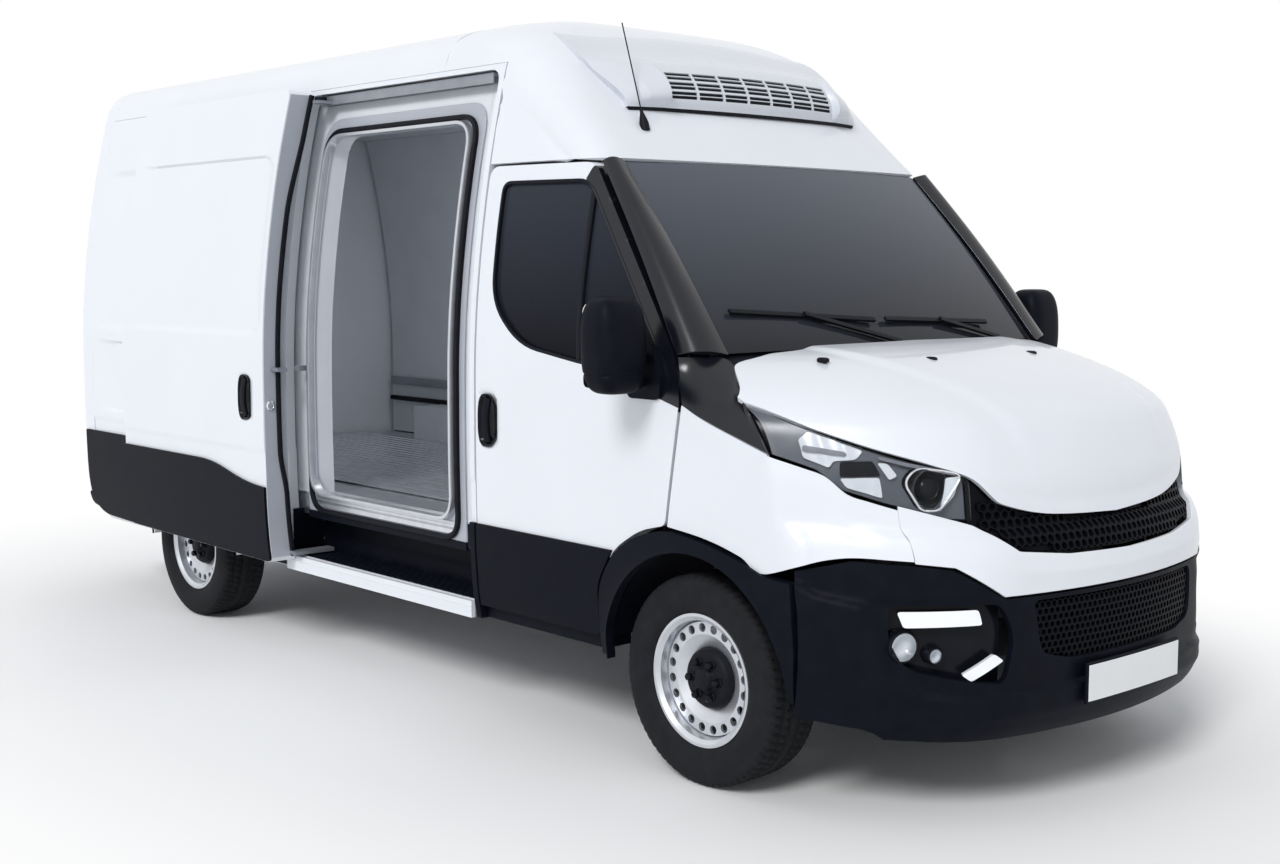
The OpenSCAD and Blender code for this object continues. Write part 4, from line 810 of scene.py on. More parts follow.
band = nose_strip(np.linspace(-779, 779, 161), panel_low, panel_top, 25)
fold = np.linspace(0, 1, 25)[None, :] - 0.52
band[..., 0] -= 20 * np.maximum(0, -fold) * step(-np.abs(band[..., 1]), -640, -520) + 6 * np.maximum(0, fold)
shell("nose_band", band, 18, "white_paint", toward=(ahead(500), 0, 760), replaces=["front_panel"], bevel=2)

yy = np.linspace(-1000, 1000, 81)
edge = np.vstack([np.column_stack([yy, bumper_low(yy)]), np.column_stack([yy[::-1], bumper_top(yy[::-1])])])
INTAKE = rounded([(-300, 492, 30), (300, 492, 30), (430, 520, 40), (455, 684, 30), (-455, 684, 30),
                  (-430, 520, 40)])
POCKET = rounded([(560, 440, 30), (690, 455, 60), (812, 490, 40), (846, 580, 40), (840, 684, 20),
                  (575, 684, 24), (530, 590, 50)])


def lip(y, z):
    """The bumper's relief: set in above its ledge line, raised over the fog lamps, with a bead low down."""
    a = np.abs(y)
    slope = (bumper_ledge(a + 4) - bumper_ledge(a - 4)) / 8
    d = (z - bumper_ledge(a)) / np.sqrt(1 + slope ** 2)
    brow = step(z, 690, 704) * step(a, 556, 600) * (1 - step(a, 846, 886))
    return -16 * step(d, -7, 7) + 12 * brow + 5 * bell(z, 345, 18) * step(-a, -960, -700)


panel("bumper_skin", nose_uv(edge), nose_map(0, lip), 26, "black_plastic", hu=12, hv=12, bevel=4,
      holes=[nose_uv(q) for q in (INTAKE, POCKET, POCKET[::-1] * (-1, 1))], inward=(ahead(300), 0, 500),
      replaces=["front_bumper"])


def hex_mesh(name, y0, y1, z0, z1, pitch, wall, inset, depth, keep):
    """A honeycomb: six-sided rings on a staggered lattice over (y, height), carried onto the front form."""
    r = pitch / math.sqrt(3)
    zs = np.arange(z0, z1, r * 1.5)
    rows = [np.arange(y0 + i % 2 * pitch / 2, y1, pitch) for i in range(len(zs))]
    c = np.vstack([np.column_stack([y, np.full(len(y), z)]) for y, z in zip(rows, zs)])
    c = c[keep(c[:, 0], c[:, 1])]
    a = np.arange(6) * np.pi / 3 + np.pi / 6
    ring = np.stack([np.cos(a), np.sin(a)], 1)
    q = c[:, None] + np.concatenate([ring * (r - 0.2), ring * (r - wall)])[None]
    t = nose_s(q[..., 1])
    V = np.concatenate([nose_point(q[..., 0], t, inset), nose_point(q[..., 0], t, inset + depth)], 1)
    i = np.arange(6)
    j = (i + 1) % 6
    walls = ((0, 6), (6, 18), (18, 12), (12, 0))
    one = np.vstack([np.stack([i + m, j + m, j + n, i + n], 1) for m, n in walls])
    F = (one[None] + (np.arange(len(c)) * 24)[:, None, None]).reshape(-1, 4)
    return piece(name, V, F, "mesh_black", sharp=20)


hex_mesh("lower_mesh", -460, 460, 500, 690, 24, 4.0, 24, 14,
         lambda y, z: inside(np.column_stack([y, z]), INTAKE))
shell("lower_mesh_back", nose_strip(np.linspace(-470, 470, 61), level(480), level(694), 15, 52), 8,
      "mesh_black", toward=(ahead(500), 0, 600))
hex_mesh("upper_mesh", -560, 560, 810, 990, 30, 5.0, 16, 16,
         lambda y, z: (z > panel_top(y) + 14) & (z < bonnet_low(np.abs(y)) - 10))
DAY_LAMP = rounded([(624, 624, 8), (806, 616, 8), (818, 664, 10), (632, 670, 10)])
CORNER_LAMP = rounded([(560, 512, 8), (650, 452, 8), (676, 474, 8), (590, 534, 8)])
pocket_back = nose_strip(np.linspace(540, 856, 41), level(436), level(690), 19, 70)
for s, tag in SIDES:
    shell("pocket_back_" + tag, pocket_back * (1, s, 1), 8, "gloss_black", toward=(ahead(300), s * 500, 560))
    for nm, shp, ins in (("day_lamp_", DAY_LAMP, 20), ("corner_lamp_", CORNER_LAMP, 22)):
        panel(nm + tag, nose_uv(shp[::s] * (s, 1)), nose_map(ins), 14, "lamp_white_and_glint",
              inward=(ahead(300), 0, 560), hu=14, hv=14, bevel=2)
    for nm, yc, zc, r in (("fog_", 792, 556, 44), ("fog_small_", 724, 530, 22)):
        at = (float(nose_point(np.array(float(yc)), nose_s(zc))[0]) - 42, s * yc, zc)
        way = (0.94, s * 0.34, 0.0)
        bowl = [(r * 0.25, -30), (r * 0.6, -22), (r * 0.85, -8), (r, 3), (r, -34), (r * 0.25, -34)]
        sleeve = [(r - 1, -36), (r - 1, 4), (r + 3, 6), (r + 6, 2), (r + 6, -36)]
        lens = [(0.5, 8), (r * 0.5, 7), (r - 1, 3), (r - 1, 0), (0.5, 2)]
        # The white bowl is a painted glint of the fog lamp's reflector
        lathe(nm + "bowl_" + tag, bowl, at, way, "lamp_white_and_glint", n=40)
        lathe(nm + "sleeve_" + tag, sleeve, at, way, "gloss_black", n=40)
        lathe(nm + "lens_" + tag, lens, at, way, "clear_lens", n=40)

# Number plate on its black holder
YP, ZP = grid(np.linspace(-260, 260, 41), np.linspace(-57, 57, 9))
plate_x = ahead(1004) - YP ** 2 / 9000
behind_plate = (ahead(500), 0, PLATE_Z)
shell("plate_holder", np.stack([plate_x - 1, YP * 1.03, PLATE_Z + ZP * 1.14], -1), 10, "black_plastic",
      toward=behind_plate, bevel=3)
shell("plate_blank", np.stack([plate_x + 3, YP, PLATE_Z + ZP], -1), 3, "plate", toward=behind_plate, bevel=1)
grille = nose_strip(np.linspace(-600, 600, 121), lambda a: panel_top(a) + 4, lambda a: bonnet_low(a) - 4,
                    9, 30)
shell("grille_back", grille, 12, "mesh_black", toward=(ahead(500), 0, 860), replaces=["grille"])

# Front wings: a net from the wheel arch along the side, as (ahead, low, high), and round under the lamp
WING_SIDE = [(-110, 846, 1246), (46, 830, 1208), (224, 790, 1152), (330, 752, 1120)]
WING_FRONT = [(1000, 786), (950, 812), (914, 822.08), (876, 824), (836, 820 + 2 / 3), (780, 816)]


def wing_row(k):
    """One row of the wing's net, at a share k of the way from its low edge to its high edge."""
    row = []
    for i, (x, low, high) in enumerate(WING_SIDE):
        z = low + (high - low) * k
        row.append((ahead(x) + (66 * k if i == 0 else 0), float(half_w(z)), z))
    for y, low in WING_FRONT:
        z = low + (float(lamp_low(y)) - 8 - low) * k
        row.append(tuple(nose_point(np.array(float(y)), nose_s(z))))
    return row


wing = net(np.array([wing_row(k) for k in np.linspace(0, 1, 6)]), 40, 90)
for s, tag in SIDES:
    shell("wing_" + tag, wing * (1, s, 1), 14, "white_paint", toward=(ahead(100), 0, 900), bevel=2,
          replaces=["front_wings"] if s > 0 else ())

# Head lamps: bowl, bezel, reflector cells and clear cover; cells are outlines of (y, height)
CELLS = [("signal", 18, "lamp_clear", [(937, 1166), (914, 1190), (824, 1135), (842, 1110), (886, 1104),
                                       (896, 1084), (938, 1112)]),
         ("signal_bar", 14, "smoke_chrome", [(934, 1151), (858, 1132), (860, 1118), (938, 1132)]),
         ("low_cell", 20, "lamp_clear", [(881, 1053), (804, 1058), (802, 996), (871, 1026)]),
         ("side_cell", 16, "lamp_white_and_glint", [(803, 1102), (782, 1100), (767, 1064), (786, 1051)]),
         ("dark_cell", 24, "gloss_black", [(872, 1102), (808, 1106), (798, 1062), (879, 1058)]),
         ("moon", 14, "lamp_white_and_glint", [(658, 1058), (619, 1062), (642, 1004), (682, 956), (667, 1014)]),
         ("brow", 8, "smoke_chrome", [(802, 1122), (746, 1104), (633, 1073), (634, 1064), (748, 1093),
                                      (803, 1113)])]
RING = rounded([(726, 1089, 24), (623, 1072, 16), (624, 1054, 10), (686, 958, 24), (728, 964, 16),
                (760, 1045, 24)], 8)
BEAM_BOWL = [(16, -46), (34, -40), (50, -22), (58, 2), (62, 4), (62, -50), (16, -50)]
BEAM_LENS = [(0.5, 2), (20, -1), (32, -8), (38, -18), (38, -42), (0.5, -42)]


def lamp_high(a):
    """The lamp's upper edge, a gap below the bonnet."""
    return bonnet_low(a) - 8


def cell_ribs(y, z):
    """Upright ribs pressed into a reflector cell."""
    return -5 * np.abs(np.sin(np.abs(y) / 13))


yl = np.linspace(606, 985, 61)
cover, bowl = (nose_strip(yl, lambda a: lamp_low(a) + 5, lamp_high, 25, inset) for inset in (2, 60))
bezel = np.vstack([np.column_stack([yl, lamp_low(yl) + 6]), np.column_stack([yl, lamp_high(yl) - 1])[::-1]])
ring_line = resample(RING, 8)
for s, tag in SIDES:
    behind, within_lamp = (ahead(300), s * 500, 1000), (ahead(300), 0, 1000)
    shell("lamp_cover_" + tag, cover * (1, s, 1), 4, "clear_lens", toward=behind)
    shell("lamp_bowl_" + tag, bowl * (1, s, 1), 6, "gloss_black", toward=behind,
          replaces=["front_lamps"] if s > 0 else ())
    panel("lamp_bezel_" + tag, nose_uv(bezel[::s] * (s, 1)), nose_map(32), 4, "lamp_bezel",
          holes=[nose_uv(RING[::s] * (s, 1))], inward=within_lamp, hu=12, hv=12)
    for nm, ins, mat, pts in CELLS:
        shp = rounded([(*q, 7) for q in pts], 5)
        panel(f"lamp_{nm}_{tag}", nose_uv(shp[::s] * (s, 1)),
              nose_map(ins, cell_ribs if mat == "lamp_clear" else None), 6, mat, inward=within_lamp, hu=5,
              hv=7, sharp=20)
    sweep("lamp_ring_" + tag, nose_point(ring_line[:, 0], nose_s(ring_line[:, 1]), 9) * (1, s, 1),
          circle(4, 8), "chrome", closed=True, up=(1, 0, 0))
    beam, way = nose_point(np.array(s * 690.0), nose_s(1024), 30), (0.93, s * 0.36, 0.05)
    lathe("beam_bowl_" + tag, BEAM_BOWL, beam, way, "smoke_chrome", n=56)
    lathe("beam_lens_" + tag, BEAM_LENS, beam, way, "gloss_black", n=48)

# Cab doors
DOOR = rounded(from_axle((-1150, 425, 20), (-462, 425, 20), (-462, 604, 40), (-380, 738, 60), (-244, 818, 50),
                         (-122, 848, 20), (-56, 1262, 40), (-100, 1404, 40), (-600, 2048, 50),
                         (-1150, 2052, 50)))
WINDOW = rounded(from_axle((-1062, 1990, 40), (-1066, 1560, 100), (-900, 1410, 110), (-560, 1362, 40),
                           (-210, 1330, 30), (-150, 1390, 30), (-610, 1985, 60)))
GLASS = rounded(from_axle((-1068, 1996, 40), (-1072, 1558, 100), (-902, 1404, 110), (-560, 1356, 40),
                          (-206, 1324, 30), (-142, 1390, 30), (-606, 1991, 60)))
DOOR_CLAD = rounded(from_axle((-1150, 423.5, 6), (-460.5, 423.5, 20), (-460.5, 604, 40), (-382, 733, 4),
                              (-1150, 735, 6)))
FRONT_FRAME = rounded(from_axle((-598, 2046, 30), (-98, 1405.5, 40), (-54, 1262, 40), (-57.5, 1236, 2),
                                (-450, 1344, 20), (-430, 1354, 6), (-212, 1334, 30), (-156, 1390, 30),
                                (-612, 1979, 40), (-634, 1986, 10)))
CUP_Z = (1040, 1210)


def cab_side(s, off=0.0, cup=0.0):
    """The cab side: the body side, narrowed by the plane that leans in towards the screen, with a rounded
    crease and a cup of a depth behind the handle."""

    def f(x, z):
        dent = cup * box_mask(x, z, ahead(-1124), ahead(-1038), *CUP_Z, 22)
        return np.stack([x, s * (softmin(half_w(z), cab_half(x, z), 24) + off - dent), z], -1)

    return f


for s, tag in SIDES:
    leaf, into = "front_door_" + tag, (0, -s, 0)
    panel("door_skin_" + tag, DOOR, cab_side(s, 0, 22), 66, "white_paint", leaf, holes=[WINDOW], push=into,
          hu=24, hv=24, bevel=3, replaces=["door_" + tag])
    panel("door_pane_" + tag, GLASS, cab_side(s, -14), 5, "side_glass", leaf, push=into, hu=50, hv=50,
          replaces=["door_glass_" + tag])
    panel("door_cladding_" + tag, DOOR_CLAD, side(s, CLAD), CLAD + 67, "black_plastic", leaf, push=into,
          hu=50, hv=30, bevel=3)
rim = resample(WINDOW, 14)
bar_z = np.linspace(1346, 1992, 30)
bar_x = ahead(-590) + 26 * (1992 - bar_z) / 646
for s, tag in SIDES:
    leaf = "front_door_" + tag
    panel("window_frame_" + tag, FRONT_FRAME, cab_side(s, 1.5), 68.5, "pillar_black", leaf, push=(0, -s, 0),
          hu=14, hv=14, bevel=1.5)
    sweep("window_seal_" + tag, cab_side(s, -5)(*rim.T), bar(6, 6, 2), "seal", leaf, closed=True,
          up=(0, s, 0))
    sweep("quarter_bar_" + tag, cab_side(s, -8)(bar_x, bar_z), bar(11, 7, 3), "seal", leaf, up=(0, s, 0))

# Rear opening: the end of the lining, the sill under the floor and the faces of the wheel boxes
zs, zl = np.linspace(560, 2552, 60)[:, None], np.linspace(703, 2411, 40)[:, None]
hatch = np.vstack([np.hstack([half_w(zs) - 70, zs]), np.hstack([70 - half_w(zs), zs])[::-1]])
lined = np.vstack([np.hstack([half_w(zl) - 149, zl]), [(500, 2448), (0, 2490), (-500, 2448)],
                   np.hstack([149 - half_w(zl), zl])[::-1]])
panel("rear_surround", hatch, lambda y, z: np.stack([0 * y + x_r - 1, y, z], -1), 2.5, "white_liner",
      holes=[lined], push=(1, 0, 0))
for s, tag in SIDES:
    panel("wheel_box_face_" + tag, oblong(AXLE_R - 466, AXLE_R + 466, FLOOR_Z, 894),
          lambda x, z: np.stack([x, 0 * x + s * (WHEEL_Y - 232), z], -1), 3, "white_liner", push=(0, s, 0),
          hu=60)

# Sliding door, standing open
SLIDE_F = ahead(-2474)
SLIDE_R = SLIDE_F - 1372
SLIDE = rounded([(SLIDE_R, 430, 70), (SLIDE_F, 415, 40), (SLIDE_F, 2436, 50), (SLIDE_R, 2436, 60)])
SLIDE_CLAD = rounded([(SLIDE_R + 1, 436, 60), (SLIDE_F - 1, 421, 30), (SLIDE_F - 1, 746, 4),
                      (ahead(-2650), 755, 120), (ahead(-2960), 826, 120), (SLIDE_R + 1, 826, 4)])


def slide_skin(x, z):
    """The sliding door's face: the body side moved out, with a pressed field, a set-in skirt and a cup."""
    press = 13 * field(x, z, SLIDE_R - 300, SLIDE_F - 52, 1400, 2153) * step(x, SLIDE_R, SLIDE_R + 240)
    cup = 24 * box_mask(x, z, ahead(-2678), ahead(-2592), *CUP_Z, 22)
    return np.stack([x, -(half_w(z) + SLIDE_OUT - press - 4 * (1 - step(z, 890, 906)) - cup), z], -1)


panel("slide_skin", SLIDE, slide_skin, 113, "white_paint", push=(0, 1, 0), hu=26, hv=11, bevel=4,
      replaces=["sliding_door"])
panel("slide_cladding", SLIDE_CLAD, side(-1, SLIDE_OUT + CLAD), 11, "black_plastic", push=(0, 1, 0), hu=40,
      hv=30, bevel=3)

# Wheels: half the tyre's section as (radius, across), with grooves, cross cuts and two beads on the wall
TYRE_HALF = np.array([(214, -81), (232, -100), (256, -110), (282, -112.5), (306, -111), (326, -106),
                      (337, -101), (343, -95), (346, -84), (348, -60), (349, -30), (349, 0)])
TYRE_ROUND, RIM_SEAT = 288, 212
prof = spline(np.vstack([TYRE_HALF, TYRE_HALF[-2::-1] * (1, -1)]), 64)
ang = turn_of(TYRE_ROUND)
R, A = grid(prof[:, 0], ang)
W, _ = grid(prof[:, 1], ang)
groove = sum(bell(W, c + 3.0 * np.sin(A * 36), 5.0, 4) for c in (-58, -20, 20, 58))
cross = (np.sin(A * 72 + np.sign(W) * 0.8 + W / 14) > 0.72) * (np.abs(W) > 24)
R = (R - 8.0 * step(R, 333, 340) * np.clip(groove + 0.8 * cross, 0, 1)
     + 1.2 * bell(R, 300, 2.5) + 1.0 * bell(R, 262, 2.0))
R, W = np.vstack([np.full(TYRE_ROUND, RIM_SEAT), R]), np.vstack([np.zeros(TYRE_ROUND), W])
for x, s, tag in WHEELS:
    P = np.stack([x + R * np.cos(ang), s * WHEEL_Y + W, TYRE_R + R * np.sin(ang)], -1)
    piece("tread_tyre_" + tag, P, quads(len(P), TYRE_ROUND, wrap_r=True, wrap_c=True), "tyre_rubber",
          "wheel_" + tag, replaces=["tyre_" + tag], sharp=60)

# Cooling unit on the roof nose: its middle line and its ends, row by row, and how far its cheeks stand out
UNIT_MID = [(-676, 2264), (-668, 2290), (-726, 2411), (-762, 2438), (-856, 2473), (-1000, 2556),
            (-1180, 2606)]
UNIT_EDGE = [(-735, 622, 2262), (-742, 626, 2288), (-880, 668, 2408), (-905, 674, 2434), (-945, 680, 2468),
             (-1040, 676, 2533), (-1180, 650, 2580)]
CHEEK = [2, 24, 26, 22, 4, 0, 0]
U_N, U_M = 181, 241
LOUVRE_HALF, LOUVRES, SLOT_H = 440, 7, 12.5


def unit_row(i):
    """Row i of the cooling unit: a parabola across the face, then straight to the end with a cheek."""
    (xm, zm), end = UNIT_MID[i], np.array(UNIT_EDGE[i], float) + (AXLE_F, 0, 0)
    q = np.linspace(0, 448, 10)
    face = np.stack([ahead(xm) - 32 * (q / 450) ** 2, q, zm - 2 * i * (q / 450) ** 2], 1)
    k = np.array([0.07, 0.3, 0.56])[:, None]
    half = np.vstack([face, face[-1] * (1 - k) + end * k + (CHEEK[i], 0, 0), end])
    return np.vstack([half[:0:-1] * (1, -1, 1), half])


unit_cols = spline(np.array([unit_row(i) for i in range(len(UNIT_MID))]), U_N)
k = np.linspace(0, unit_cols.shape[1] - 1.001, U_M)
col, part = k.astype(int), (k % 1)[:, None]
unit_grid = unit_cols[:, col] * (1 - part) + unit_cols[:, col + 1] * part


def unit_map(push=0.0):
    """The cooling unit: cubics up its columns with flat facets between them, read by (across, up) to 1000."""
    n = normals(unit_grid)
    return on_grid(unit_grid + push * n * np.sign(n[60, 120, 0]))


def at_y(q):
    """The across value at y on the cooling unit's face."""
    return float(np.interp(q, unit_grid[40, :, 1], np.linspace(0, 1000, U_M)))


def at_z(q):
    """The up value at a height on the cooling unit's middle line."""
    return float(np.interp(q, unit_grid[:70, 120, 2], np.linspace(0, 1000, U_N)[:70]))


slots = []
for k in range(LOUVRES):
    y0, y1 = (-LOUVRE_HALF + (k + e) * 2 * LOUVRE_HALF / LOUVRES for e in (0, 1))
    for z0 in (2301 + row * 36 + pair * 15.5 for row in range(3) for pair in range(2)):
        slots.append(oblong(at_y(y0 + 5), at_y(y1 - 5), at_z(z0), at_z(z0 + SLOT_H), 3, n=3))
in_unit = (ahead(-1200), 0, 2100)
# The cooling unit's skin is white paint made greyer as painted shade
panel("unit_skin", oblong(0, 1000, 0, 1000), unit_map(), 38, "unit_white_painted_shade", holes=slots, hu=12, hv=14,
      inward=in_unit, replaces=["condenser_unit"], sharp=14)
# A dark sheet 5 mm behind the louvre slots: painted shade inside each slot
panel("louvre_slot_shade_sheet", oblong(at_y(-450), at_y(450), at_z(2296), at_z(2412)), unit_map(-5), 8, "seal", hu=20,
      hv=20, inward=in_unit)
# A black rubber tube along the unit's foot, which also paints the dark shadow line beneath the unit
foot = unit_map(-3)(np.linspace(4, 996, 61), np.zeros(61))
sweep("unit_gasket_and_shadow_line", foot + (-6, 0, -5), circle(9, 10), "seal")

# Aerial on the roof nose
AERIAL, AERIAL_LEAN = np.array([ahead(-665), -600, 2185.0]), math.radians(18)
lean = np.array([-math.sin(AERIAL_LEAN), 0, math.cos(AERIAL_LEAN)])
lathe("aerial_base", [(0.5, -24), (17, -20), (17, 8), (13, 26), (7, 46), (5, 62), (0.5, 64)],
      AERIAL + lean * 6, lean, "seal", n=28)
sweep("aerial_rod", AERIAL + lean * np.linspace(60, 398, 30)[:, None], circle(2.4, 8), "seal", up=(0, 1, 0))

# Door mirrors: a rounded box cut flat behind, with a groove round it, two glasses, two arms and a base
MIRROR_X, MIRROR_Y, MIRROR_Z = ahead(-205), 1151.0, 1437.0
MIRROR_HALF, MIRROR_CUT, MIRROR_GLASS_X = 156, -58, ahead(-264.5)
MIRROR_ROWS, MIRROR_ROUND = 60, 64
u, v = ball_angles(MIRROR_ROWS, MIRROR_ROUND)
cz = MIRROR_HALF * power(np.sin(u), 0.62) + 0 * v
cx = 82 * power(np.cos(u), 0.45) * power(np.cos(v), 0.62)
cx = np.where(cx < MIRROR_CUT, MIRROR_CUT + 0.05 * (cx - MIRROR_CUT), cx)
cx = cx * (1 - 0.12 * (cz / MIRROR_HALF) ** 2)
k = 1 - 5 * bell(cz, -92, 4.0) * (cx > MIRROR_CUT + 2) / 90
cy = 98 * power(np.cos(u), 0.45) * power(np.sin(v), 0.5) * k
mirror = np.vstack([np.stack([cx * k - 0.03 * cz, cy, cz], -1).reshape(-1, 3),
                    [(0, 0, -MIRROR_HALF), (0, 0, MIRROR_HALF)]])
SAIL = rounded(from_axle((-296, 1256, 24), (-140, 1256, 30), (-124, 1326, 20), (-176, 1432, 26),
                         (-268, 1436, 24)))
for s, tag in SIDES:
    leaf = "front_door_" + tag
    piece("mirror_shell_" + tag, mirror * (1, s, 1) + (MIRROR_X, s * MIRROR_Y, MIRROR_Z),
          ball_faces(MIRROR_ROWS - 2, MIRROR_ROUND), "black_plastic", leaf, replaces=["mirror_" + tag],
          sharp=60)
    for nm, low, high, r0, r1 in (("glass", -84, 134, 26, 40), ("spot", -140, -92, 26, 12)):
        panel(f"mirror_{nm}_{tag}", oblong(-80, 80, low, high, r0, r1),
              lambda a, b: np.stack([0 * a + MIRROR_GLASS_X, s * (MIRROR_Y + a), MIRROR_Z + 3 + b], -1), 4,
              "chrome", leaf, push=(1, 0, 0), hu=40, hv=40)
    for nm, z0, z1 in (("upper", 1392, 1400), ("lower", 1312, 1306)):
        path = spline(from_axle((-226, s * (HALF + 4), z0), (-222, s * (HALF + 34), z0 + 2),
                                (-214, s * 1062, z1), (-208, s * 1085, z1)), 14)
        sweep(f"mirror_arm_{nm}_{tag}", path, bar(30, 15, 10, 4), "black_plastic", leaf)

    def sail_side(x, z):
        """The mirror's base: the lower of body side and cab plane, bulged about its middle height."""
        y = np.minimum(half_w(z), cab_half(x, z) + 26) + 20 - 10 * (np.abs(z - 1340) / 80) ** 2
        return np.stack([x, s * y, z], -1)

    panel("mirror_base_" + tag, SAIL, sail_side, 24, "black_plastic", leaf, push=(0, -s, 0), hu=14, hv=14,
          bevel=5, segs=3)

# Wheel centres: hub cover, six nuts as rings of (radius, height), and the valve
HUB = [(0.5, 40), (101, 33), (103, 37), (99, 52), (92, 62), (84, 66), (44, 67), (40, 70), (36, 82), (30, 86),
       (0.5, 87)]
NUT = np.array([(17, 62), (17, 70), (13.6, 73), (13.6, 88), (10, 92)])
NUT_R = 62
hexagon = np.arange(6) * np.pi / 3
nut_faces = tuples(quads(len(NUT), 6, wrap_c=True)) + [tuple(range(6))[::-1], tuple(range(24, 30))]
for x, s, tag in WHEELS:
    wheel = "wheel_" + tag
    lathe("hub_cover_" + tag, HUB, (x, s * WHEEL_Y, TYRE_R), (0, s, 0), "seal", wheel, n=72)
    nuts = []
    for a in hexagon:
        nut_x = x + NUT_R * np.cos(a) + NUT[:, :1] * np.cos(hexagon)
        nut_z = TYRE_R + NUT_R * np.sin(a) + NUT[:, :1] * np.sin(hexagon)
        nuts.append((np.stack([nut_x, s * (WHEEL_Y + NUT[:, 1:]) + 0 * nut_x, nut_z], -1).reshape(-1, 3),
                     nut_faces))
    group("wheel_nuts_" + tag, nuts, "gloss_black", wheel, sharp=25)
    lathe("valve_" + tag, [(0.5, 0), (5, 0), (5, 30), (3, 36), (0.5, 36)],
          (x + 190, s * (WHEEL_Y + 50), TYRE_R), (0.2, s, 0), "seal", wheel, n=14)

# Side doorway
D0, D1, LIP_TOP = ahead(-2405), ahead(-1375), 2234.0
RIM = 66


def loop(g, off, low):
    """A line round the doorway at a distance g outside its lip, on the body side moved by off."""
    way = rounded([(D0 - g, low, 100), (D1 + g, low, 100), (D1 + g, LIP_TOP + g, 110),
                   (D0 - g, LIP_TOP + g, 110)], 14)
    return side(-1, off)(*resample(way, 26).T)


def ribbed_sill(x, z):
    """The threshold's face: the body side with level ribs."""
    return side(-1, -58)(x, z) - np.stack([0 * x, 2.5 * np.sin(z / 4.5), 0 * x], -1)


hole = oblong(D0 + 4, D1 - 4, 718, LIP_TOP, 90, 100, 12)
# The doorway frame is white paint, coloured grey as painted shade
panel("doorway_frame", oblong(D0 - RIM, D1 + RIM, 612, 2312, 40, 120, 10), side(-1, -62), 7, "inner_white_painted_shade",
      holes=[hole], push=(0, 1, 0), hu=26, hv=26, bevel=1.5)
sweep("doorway_seal", loop(25, -54, 640), bar(10, 9, 5, 4), "seal", closed=True, up=(0, 1, 0))
sweep("doorway_lip", loop(4, -66, 714), oblong(-7, 7, -34, 8, 3, n=3), "wheel_silver", closed=True,
      up=(0, 1, 0))
tx, ty = grid(np.linspace(D0 - 40, D1 + 40, 90), np.linspace(-936, -846, 40))
tz = FLOOR_Z + 2 + 3 * (np.sin(ty / 3.2) > 0.2) - 10 * step(-ty, 922, 936)
shell("threshold", np.stack([tx, ty, tz], -1), 4, "floor_aluminium", toward=(0, -890, 500))
panel("threshold_face", oblong(D0 - 4, D1 + 4, 656, 706, 70, 0, 8), ribbed_sill, 3, "floor_aluminium",
      push=(0, 1, 0), hu=40, hv=4)
panel("step_header", oblong(D0 - RIM, D1 + RIM, 600, 633), side(-1, -57), 12, "black_plastic", push=(0, 1, 0),
      hu=30, hv=12, bevel=2)

# Edge of the open door: a wavy rubber seal, the lock, the latch and a roller
EDGE_LOW, EDGE_TOP, LATCH_Z, LOCK_Z = 440, 2412, 1250.0, 1096.0


def edge_y(z, off):
    """Y on the open door's edge at a distance out from its inner face."""
    return -(half_w(z) + 30 + off)


zz = np.linspace(EDGE_LOW, EDGE_TOP, 90)
wave = (22 * step(zz, 700, 900) * (1 - step(zz, 1900, 2250))
        + 12 * np.sin((zz - EDGE_LOW) / (EDGE_TOP - EDGE_LOW) * np.pi))
sweep("slide_seal_front", np.stack([np.full(90, SLIDE_F + 9), edge_y(zz, 14 + wave), zz], 1), bar(9, 9, 4),
      "seal", up=(0, 1, 0))
EZ, EO = grid(np.linspace(EDGE_LOW, EDGE_TOP, 80), np.linspace(5, 110, 9))
# The open door's edge is white paint, coloured grey as painted shade
shell("slide_edge_plate", np.stack([SLIDE_F + 2.5 + 0 * EZ, edge_y(EZ, EO), EZ], -1), 3, "inner_white_painted_shade",
      toward=(SLIDE_F - 300, -1100, 1400))
lathe("slide_lock", [(0.5, -2), (20, -2), (20, 5), (15, 8), (14, 5), (6, 5), (0.5, 6)],
      (SLIDE_F + 3, edge_y(LOCK_Z, 84), LOCK_Z), (1, 0, 0), "chrome", n=40)
latch_x = np.linspace(SLIDE_F - 2, SLIDE_F + 62, 12)
sweep("slide_latch", np.stack([latch_x, np.full(12, float(edge_y(LATCH_Z, 56))), np.full(12, LATCH_Z)], 1),
      bar(24, 8, 4), "grey_metal")
lathe("slide_roller", [(0.5, -14), (24, -14), (26, -8), (26, 8), (24, 14), (0.5, 14)],
      (SLIDE_F + 34, -(float(half_w(2390)) + 10), 2392), (0, 0, 1), "seal", n=32)

# Step with an anti-slip tread
STEP_R, STEP_F = ahead(-2560), ahead(-1196)
sx, sy = grid(np.linspace(STEP_R + 8, STEP_F - 8, 160), np.linspace(-972, -812, 36))
stud = np.maximum(0, np.sin(sx / 7.5) * np.sin(sy / 7.5)) ** 0.7
shell("step_tread", np.stack([sx, sy, STEP_Z + 1 + 4 * stud], -1), 4, "black_plastic", toward=(0, -890, 100))
drain = np.stack([7 * np.cos(turn_of(18)), 4.2 * np.sin(turn_of(18))], 1)
panel("step_edge", oblong(STEP_R, STEP_F, -1003.5, -976),
      lambda x, y: np.stack([x, y, STEP_Z - 0.03 * (y + 976) ** 2 * (y < -976)], -1), 4, "white_paint",
      holes=[drain + (x, -991) for x in np.linspace(ahead(-2480), ahead(-1280), 13)], push=(0, 0, -1), hu=14,
      hv=14, bevel=1)
YE, ZE = grid(np.linspace(-968, -816, 20), np.linspace(400, 628, 24))
